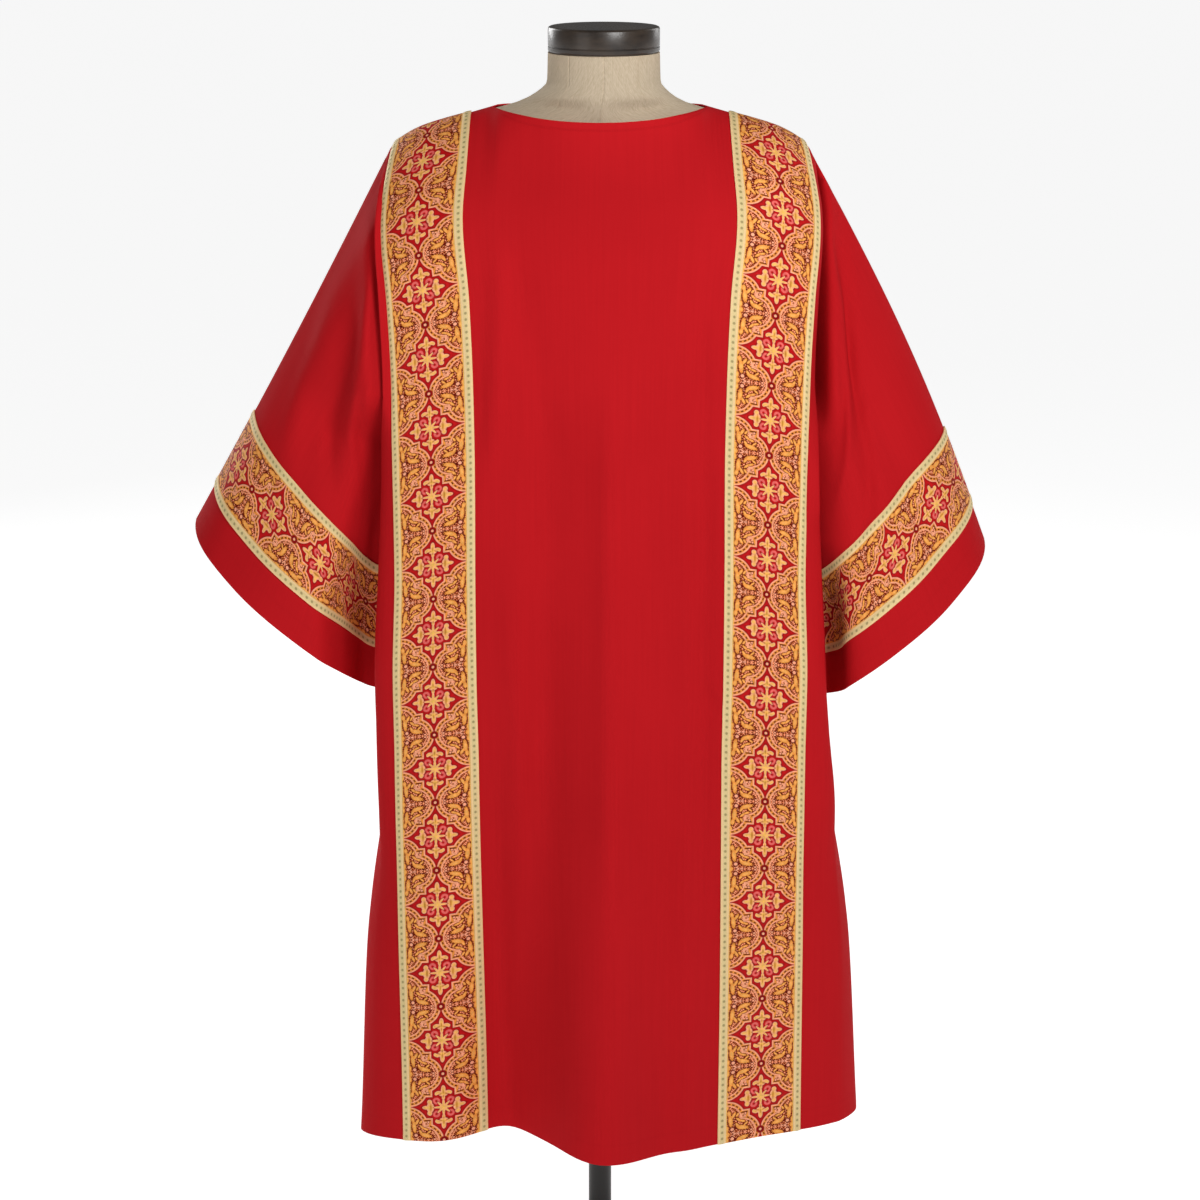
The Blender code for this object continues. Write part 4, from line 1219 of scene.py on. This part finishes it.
def add_cross(f, point, colour, figure):
    """The cross with its flowered ends, and the pink curls between its arms."""
    curl = line(f, ring_distance(f, point, CURL), 0.0, CURL["half"], CURL["soft"])
    colour = f.blend(f.times(curl, CURL["share"]), colour, CURL_PINK)
    away = nearest_oval(f, point, CROSS_OVALS)
    shadow = inside(f, nearest_oval(f, point, CROSS_SHADOWS), *CROSS_SHADOW_EDGE)
    cross = inside(f, away, *CROSS_EDGE)
    cross_colour = f.blend(f.ramp(away, *CROSS_PALE_RIM), CROSS_GOLD, SALMON)
    cross_colour = f.blend(f.times(shadow, CROSS_SHADOW_SHARE), cross_colour, CROSS_DEEP)
    colour = f.blend(inside(f, away, *CROSS_SHADE), colour, SATIN_SHADE)
    colour = f.blend(cross, colour, cross_colour)
    return colour, f.larger(f.larger(figure, curl), cross)


def brocade():
    """Brocade: crosses on red satin between arched medallions full of leaves."""
    f = Finish("brocade", SATIN_ROUGHNESS, Specular_IOR_Level=0.06)
    u, v = f.uv("cloth")
    across, along = quarter_place(f, u, v)
    point = f.point(across, along, 1.0)
    outline, colour, figure = add_frame(f, point, across, along, SATIN_RED, 0.0)
    colour, figure = add_leaves(f, point, across, along, outline, colour, figure)
    colour, figure = add_cross(f, point, colour, figure)
    beads = nearest_oval(f, point, BEADS)
    colour = f.blend(inside(f, beads, *BEAD_SHADE), colour, SATIN_DEEP)
    beads = inside(f, beads, *BEAD_EDGE)
    colour = f.blend(beads, colour, SALMON)
    selvedge = f.ramp(across, *SELVEDGE)
    colour = f.blend(selvedge, colour, CROSS_GOLD)
    figure = f.larger(f.larger(figure, beads), selvedge)

    where = f.point(u, v)
    patches = f.noise(where, BROCADE_PATCHES, detail=3.0)
    grain = f.noise(where, BROCADE_GRAIN, detail=2.0)
    floats = wave(f, f.plus(v, f.times(u, FLOAT_SLANT)), FLOAT_LENGTH)
    # the patches lighten and darken the colour as painted thread sheen; the floats add stripes and the
    # grain random tone
    brightness = f.plus(f.times(floats, BROCADE_TONE_AND_SHEEN["floats"]), f.times(grain, BROCADE_TONE_AND_SHEEN["grain"]))
    brightness = f.plus(brightness, f.times(patches, BROCADE_TONE_AND_SHEEN["patches"]))
    f.colour(f.shade(colour, f.plus(brightness, BROCADE_TONE_AND_SHEEN["least"])))
    f.rough(f.ramp(figure, 0.0, 1.0, SATIN_ROUGHNESS, GOLD_ROUGHNESS))
    f.put(f.shader.inputs["Metallic"], f.times(figure, GOLD_METALLIC))
    height = f.plus(figure, f.times(floats, BROCADE_RELIEF["floats"]))
    height = f.plus(height, f.times(grain, BROCADE_RELIEF["grain"]))
    f.bump(height, distance=0.00030, strength=0.7)
    return f.material


# ---------------------------------------------------------------- braid, linen and wood
# How far apart the braid's dots are, half of one's size, its edge and how much of its
# colour shows; where the pale edges begin and are full, and the sizes of the weave.
BRAID_DOTS = 0.0073
DOT_HALF = (1.5, 1.6)
DOT_EDGE = (1.0, 1.2)
DOT_SHARE = 0.75
PALE_EDGE = (0.0022, 0.0030)
CHEVRON_LENGTH = 0.0016
EDGE_CORD_LENGTH = 0.0011
BRAID_GRAIN = 1100.0
# how much the chevron weave and the grain lighten and darken the braid's colour
BRAID_TONE = {"chevron": 0.09, "grain": 0.35, "least": 0.84}
BRAID_RELIEF = {"chevron": 0.70, "cord": 0.60}
LINEN_THREAD = 0.0011
LINEN_FLECKS = 240.0
LINEN_FINE = 900.0
LINEN_LONG = 25.0
LINEN_TONE = {"threads": 0.35, "flecks": 0.30, "dark": 0.38, "pale": 0.60}
LINEN_WEAVE_RELIEF = 0.40
# The noise values between which a colour or a roughness runs from one to the other.
GRAIN_RANGE = (0.35, 0.65)
SPECK_RANGE = (0.30, 0.70)
WOOD_GRAIN = (40.0, 6.0, 90.0)
WOOD_PORES = (700.0, 90.0, 700.0)
WOOD_ROUGHNESS = (0.30, 0.46)
WOOD_PORE_RELIEF = 0.50
PAINT_SPECKLE = (600.0, 600.0, 600.0)
PAINT_DUST = (9.0, 9.0, 3.0)
PAINT_ROUGHNESS = (0.34, 0.48)


def gold_braid():
    """Narrow woven braid: pale gold, paler along its edges, with a row of small dark
    dots down its middle and a chevron weave."""
    f = Finish("gold_braid", roughness=0.50, Specular_IOR_Level=0.20, Metallic=0.10)
    u, v = f.uv("cloth")
    off = f.maths("ABSOLUTE", u)
    turns = f.maths("DIVIDE", v, BRAID_DOTS)
    step = f.times(f.minus(turns, f.maths("ROUND", turns)), BRAID_DOTS * MM)
    dot_place = f.point(f.times(u, MM), step, 1.0)
    dot = inside(f, f.oval(dot_place, (0.0, 0.0), DOT_HALF), *DOT_EDGE)
    chevron = wave(f, f.plus(v, off), CHEVRON_LENGTH)
    grain = f.noise(f.point(u, v), BRAID_GRAIN, detail=2.0)
    edge = f.ramp(off, *PALE_EDGE)
    colour = f.blend(edge, BRAID_GOLD, BRAID_EDGE)
    colour = f.blend(f.times(dot, DOT_SHARE), colour, BRAID_OLIVE)
    brightness = f.plus(f.times(chevron, BRAID_TONE["chevron"]), f.times(grain, BRAID_TONE["grain"]))
    f.colour(f.shade(colour, f.plus(brightness, BRAID_TONE["least"])))
    cord = f.times(wave(f, v, EDGE_CORD_LENGTH), edge)
    height = f.plus(f.times(chevron, BRAID_RELIEF["chevron"]), f.times(cord, BRAID_RELIEF["cord"]))
    f.bump(f.minus(height, dot), distance=0.00022, strength=0.75)
    return f.material


def linen_cover():
    """Natural linen in a plain weave, with thicker threads here and there."""
    f = Finish("linen_cover", roughness=0.85, Specular_IOR_Level=0.2)
    u, v = f.uv("cloth")
    down = f.point(f.times(u, LINEN_FINE), f.times(v, LINEN_LONG))
    warp = f.noise(down, 1.0, detail=2.0)
    around = f.point(f.times(u, LINEN_LONG), f.times(v, LINEN_FINE))
    weft = f.noise(around, 1.0, detail=2.0)
    flecks = f.noise(f.point(u, v), LINEN_FLECKS, detail=3.0)
    threads = f.times(f.plus(warp, weft), LINEN_TONE["threads"])
    tone = f.plus(threads, f.times(flecks, LINEN_TONE["flecks"]))
    tone = f.ramp(tone, LINEN_TONE["dark"], LINEN_TONE["pale"])
    f.colour(f.blend(tone, LINEN_DARK, LINEN_PALE))
    weave = f.times(wave(f, u, LINEN_THREAD), wave(f, v, LINEN_THREAD))
    height = f.plus(f.times(weave, LINEN_WEAVE_RELIEF), f.plus(warp, weft))
    f.bump(height, distance=0.00022, strength=0.7)
    return f.material


def dark_wood():
    """Dark-stained turned wood under a satin lacquer."""
    f = Finish("dark_wood", roughness=0.36, Specular_IOR_Level=0.4,
               Coat_Weight=0.35, Coat_Roughness=0.22)
    grain = f.noise(f.place(WOOD_GRAIN), 1.0, detail=4.0, roughness=0.6)
    pores = f.noise(f.place(WOOD_PORES), 1.0, detail=2.0)
    f.colour(f.blend(f.ramp(grain, *GRAIN_RANGE), WOOD_DARK, WOOD_LIGHT))
    f.rough(f.ramp(pores, *SPECK_RANGE, *WOOD_ROUGHNESS))
    f.bump(f.plus(grain, f.times(pores, WOOD_PORE_RELIEF)), distance=0.00012, strength=0.35)
    return f.material


def dark_metal():
    """Satin dark paint on a steel tube."""
    f = Finish("dark_metal", roughness=0.38, Specular_IOR_Level=0.5, Metallic=0.15)
    speckle = f.noise(f.place(PAINT_SPECKLE), 1.0, detail=2.0)
    dust = f.noise(f.place(PAINT_DUST), 1.0, detail=3.0)
    f.colour(f.blend(f.ramp(dust, *SPECK_RANGE), PAINT_DARK, PAINT_WORN))
    f.rough(f.ramp(dust, *SPECK_RANGE, *PAINT_ROUGHNESS))
    f.bump(speckle, distance=0.00005, strength=0.4)
    return f.material


# Where each band's first cross lies, its own repeat, and how far the pattern creeps
# because the band is eased on, in metres along its middle.
PATTERN_ALONG = {
    "right_body": (0.0423, 0.0819, 0.0138),
    "left_body": (0.0515, 0.0837, 0.0189),
    "right_sleeve": (0.0442, 0.0815, 0.0),
    "left_sleeve": (0.0040, 0.0815, 0.0),
}


# ---------------------------------------------------------------- pieces
def cut_panels():
    """Each panel's points, and how far across the cloth each one lies."""
    cut = {face: panel_points(face) for face in ("front", "back")}
    panels = {face: points for face, (points, _) in cut.items()}
    across = {face: places for face, (_, places) in cut.items()}
    return panels, across


def add_panels(cloth, panels, across):
    for face, points in panels.items():
        down = walked(points)
        past_neck = np.maximum(np.abs(across[face]) - NECK_HALF_WIDTH, 0.0)
        up = down[-1:] - down
        maps = {"cloth": (across[face], up), "edges": (up, down + past_neck)}
        piece = cloth_piece(f"{face}_panel", points, maps, PANEL_WALL, cloth)


def add_strip(name, points, normals, parts, ring=False):
    """A patterned band and its two braids on one strip of the cloth's points, whose
    first and last columns lie under the braids."""
    middle = walked(points)[:, points.shape[1] // 2]
    first_cross, repeat, creep = PATTERN_ALONG[name]
    crept = middle - first_cross - creep * np.sin(2 * np.pi * middle / middle[-1])
    pattern = crept * BAND_REPEAT / repeat
    for part, start, stop, wall, material, slot, width in parts:
        columns = slice(start, stop)
        lift = (PANEL_WALL + wall) / 2 + SEAM_GAP
        strip = drawn_in(points[:, columns] + normals[:, columns] * lift, SEAM_GAP / 2)
        if slot == "gold_braid":
            strip = crowned(strip, normals[:, columns], BRAID_CROWN)
        count = strip.shape[1]
        u = np.broadcast_to(np.linspace(-width / 2, width / 2, count), strip.shape[:2])
        v = np.broadcast_to(pattern[:, None], strip.shape[:2])
        piece = cloth_piece(f"{name}_{part}", strip, {"cloth": (u, v)}, wall, material, ring)


def strip_parts(first_braid, second_braid, band, braid):
    """For each piece of a strip: its name, its columns, wall, material, slot and
    width."""
    inner = BRAID_STEPS
    patterned = BAND_WIDTH - 2 * BRAID_WIDTH
    return (
        ("band", inner, -inner, BAND_WALL, band, "brocade", patterned),
        (first_braid, 0, inner + 1, BRAID_WALL, braid, "gold_braid", BRAID_WIDTH),
        (second_braid, -inner - 1, None, BRAID_WALL, braid, "gold_braid", BRAID_WIDTH),
    )


def add_body_bands(panels, band, braid):
    for name, side, braids in (
        ("right", -1, ("outer_braid", "inner_braid")),
        ("left", 1, ("inner_braid", "outer_braid")),
    ):
        points, normals = over_the_shoulder(panels, side)
        parts = strip_parts(*braids, band, braid)
        add_strip(f"{name}_body", points, normals, parts)


def add_sleeves(panels, cloth, band, braid):
    for name, sleeve in SLEEVES.items():
        points = sleeve_points(panels, name)
        up = walked(points)
        around = walked(points, axis=1)[SLEEVE_MARGIN_ROWS]
        u = np.broadcast_to(around, up.shape)
        maps = {"cloth": (u, up), "edges": (up, np.ones_like(up))}
        piece = cloth_piece(f"{name}_sleeve", points, maps, PANEL_WALL, cloth, ring=True)
        normals = ring_normals(points, sleeve["side"])
        rows = slice(SLEEVE_MARGIN_ROWS, SLEEVE_MARGIN_ROWS + 2 * BRAID_STEPS + BAND_STEPS + 1)
        strip = points[rows].transpose(1, 0, 2)
        out = normals[rows].transpose(1, 0, 2)
        parts = strip_parts("lower_braid", "upper_braid", band, braid)
        add_strip(f"{name}_sleeve", strip, out, parts, ring=True)


def off_nearest_seam(degrees):
    """How many degrees round the form these places are from its nearest seam."""
    off = (degrees[:, None] - np.array(FORM_SEAMS) + 180.0) % 360.0 - 180.0
    return np.abs(off).min(axis=1)


def form_angles():
    """The angles of the form's columns, evenly round and closer beside each seam."""
    even = np.linspace(0.0, 360.0, FORM_AROUND, endpoint=False)
    beside = (np.array(FORM_SEAMS)[:, None] + np.array(FORM_SEAM_OFFSETS)).reshape(-1) % 360.0
    clear = off_nearest_seam(even) > FORM_SEAM_CLEAR
    degrees = np.sort(np.concatenate([even[clear], beside]))
    return np.append(degrees, degrees[0] + 360.0)


def form_points():
    """The form's cover as a grid of rings from the middle of its underside up to the
    middle of its neck, with each seam sunk a little. Also its (u, v) lengths."""
    degrees = form_angles()
    angles = np.radians(degrees)
    heights = np.linspace(FORM_SECTIONS[0][0], FORM_SECTIONS[-1][0], FORM_ROWS)
    half_x, front, back, square = table_at(FORM_SECTIONS, heights).T[..., None]
    cosine, sine = np.cos(angles), np.sin(angles)
    sunk = FORM_SEAM_DEPTH * np.exp(-((off_nearest_seam(degrees) / FORM_SEAM_WIDTH) ** 2))
    x = (half_x - sunk) * np.sign(cosine) * np.abs(cosine) ** (2 / square)
    depth = np.where(sine < 0, front, back) - sunk
    y = depth * np.sign(sine) * np.abs(sine) ** (2 / square)
    shift = NECK_SHIFT * eased(heights, NECK_SHIFT_START, NECK_SHIFT_FULL)[:, None]
    z = np.broadcast_to(heights[:, None], x.shape)
    rings = np.stack([x + shift, y, z], axis=-1)
    underside = [rings[0] * (share, share, 1.0) for share in FORM_END_RINGS]
    neck_middle = np.array([NECK_SHIFT, 0.0, heights[-1]])
    top = [neck_middle + (rings[-1] - neck_middle) * share for share in FORM_END_RINGS[::-1]]
    points = np.concatenate([underside, rings, top])
    around = np.broadcast_to(angles * FORM_WEAVE_RADIUS, points.shape[:2])
    return points, (around, walked(points))


def add_form_cover(linen):
    points, lengths = form_points()
    cover = grid_object("form_torso_cover", points, {"cloth": lengths}, ring=True)
    on_whole_mesh(bpy.ops.mesh.normals_make_consistent, inside=False)
    bpy.ops.object.shade_smooth_by_angle(angle=math.radians(CLOTH_SMOOTH))
    cover.data.materials.append(linen)
    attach(cover, "root")
    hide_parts("form_torso")


def add_turned(name, profile, place_x, foot, material):
    """A solid turned to (radius, height) pairs from its foot up, in place of its own
    plain solid."""
    (radius, height), *rest = profile
    bpy.ops.object.select_all(action="DESELECT")
    bpy.ops.mesh.primitive_circle_add(vertices=TURNED_STEPS, radius=radius, fill_type="NGON",
                                      location=(place_x, 0.0, foot + height))
    piece = bpy.context.object
    piece.name = piece.data.name = f"{name}_turned"
    bpy.ops.object.mode_set(mode="EDIT")
    bpy.ops.mesh.select_all(action="SELECT")
    for next_radius, next_height in rest:
        rise = (0.0, 0.0, next_height - height)
        bpy.ops.mesh.extrude_region_move(TRANSFORM_OT_translate={"value": rise})
        share = next_radius / radius
        middle = (place_x, 0.0, foot + next_height)
        bpy.ops.transform.resize(value=(share, share, 1.0), center_override=middle)
        radius, height = next_radius, next_height
    on_whole_mesh(bpy.ops.mesh.normals_make_consistent, inside=False)
    bpy.ops.object.transform_apply(location=True, rotation=True, scale=True)
    bpy.ops.object.shade_smooth_by_angle(angle=math.radians(TURNED_SMOOTH))
    piece.data.materials.append(material)
    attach(piece, "root")
    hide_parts(name)


def add_form(linen, wood, metal):
    add_form_cover(linen)
    neck_top = FORM_SECTIONS[-1][0] + SEAM_GAP
    cap = [(CAP_RADIUS - less, height) for less, height in CAP_PROFILE]
    add_turned("neck_cap", cap, NECK_SHIFT, neck_top, wood)
    add_turned("stand_base", BASE_PROFILE, 0.0, 0.0, wood)
    hub_foot = BASE_TOP + SEAM_GAP
    add_turned("stand_hub", HUB_PROFILE, 0.0, hub_foot, wood)
    pole_foot = hub_foot + HUB_HEIGHT + SEAM_GAP
    pole_top = FORM_SECTIONS[0][0] - SEAM_GAP
    pole = ((POLE_RADIUS, 0.0), (POLE_RADIUS, pole_top - pole_foot))
    add_turned("stand_pole", pole, 0.0, pole_foot, metal)


# ---------------------------------------------------------------- stage
FLOOR_SIZE = 240
FLOOR_GREY = (0.55, 0.55, 0.55, 1)
WHITE = (1, 1, 1, 1)
# The floor glows less in front of the form than behind it: from and to these places,
# from and to these strengths.
FLOOR_GLOW_RAMP = (-0.35, 0.10)
FLOOR_GLOW = (0.72, 0.86)
LIGHTS = (
    # name, place, aim, size, watts
    ("key", (0.8, -1.80, 2.45), (0.0, 0.0, 1.20), 0.9, 36.5),
    ("fill", (-2.8, -3.0, 2.0), (0.0, 0.0, 1.20), 2.0, 12.0),
    ("back_left", (-2.4, 3.0, 2.4), (0.0, 0.0, 0.9), 1.8, 70.0),
    ("back_right", (2.4, 2.8, 2.4), (0.0, 0.0, 0.9), 1.8, 26.0),
)
STUDIO_STRENGTH = 0.12
CAMERA_PLACE = (0.0, -4.63, 1.935)
CAMERA_TARGET = (0.0, -0.10, 0.890)
CAMERA_LENS = 118.3
CAMERA_SENSOR = 36.0


def add_stage():
    bpy.ops.object.select_all(action="DESELECT")
    bpy.ops.mesh.primitive_plane_add(size=FLOOR_SIZE)
    floor = bpy.context.object
    floor.name = "floor"
    f = Finish("floor_paint", roughness=0.9, Specular_IOR_Level=0.1)
    f.colour(FLOOR_GREY)
    f.shader.inputs["Emission Color"].default_value = WHITE
    where = f.add("ShaderNodeTexCoord").outputs["Object"]
    depth = f.add("ShaderNodeSeparateXYZ", {"Vector": where}).outputs["Y"]
    f.put(f.shader.inputs["Emission Strength"], f.ramp(depth, *FLOOR_GLOW_RAMP, *FLOOR_GLOW))
    floor.data.materials.append(f.material)


def aim(thing, target):
    direction = Vector(target) - thing.location
    thing.rotation_euler = direction.to_track_quat("-Z", "Y").to_euler()


def add_lights():
    for name, place, target, size, watts in LIGHTS:
        light = bpy.data.lights.new(name, "AREA")
        light.size = size
        light.energy = watts
        lamp = bpy.data.objects.new(name, light)
        lamp.location = place
        bpy.context.scene.collection.objects.link(lamp)
        aim(lamp, target)
    world = bpy.data.worlds.new("studio")
    world.use_nodes = True
    background = world.node_tree.nodes["Background"]
    background.inputs["Color"].default_value = WHITE
    background.inputs["Strength"].default_value = STUDIO_STRENGTH
    bpy.context.scene.world = world
    bpy.context.scene.view_settings.view_transform = "Standard"


def add_camera():
    camera = bpy.data.cameras.new("camera")
    camera.lens = CAMERA_LENS
    camera.sensor_width = CAMERA_SENSOR
    holder = bpy.data.objects.new("camera", camera)
    holder.location = CAMERA_PLACE
    bpy.context.scene.collection.objects.link(holder)
    aim(holder, CAMERA_TARGET)
    bpy.context.scene.camera = holder


add_camera()
cloth = red_cloth()
band = brocade()
braid = gold_braid()
panels, across = cut_panels()
add_sleeves(panels, cloth, band, braid)
tuck_armholes(panels)
add_panels(cloth, panels, across)
add_body_bands(panels, band, braid)
add_form(linen_cover(), dark_wood(), dark_metal())
add_stage()
add_lights()
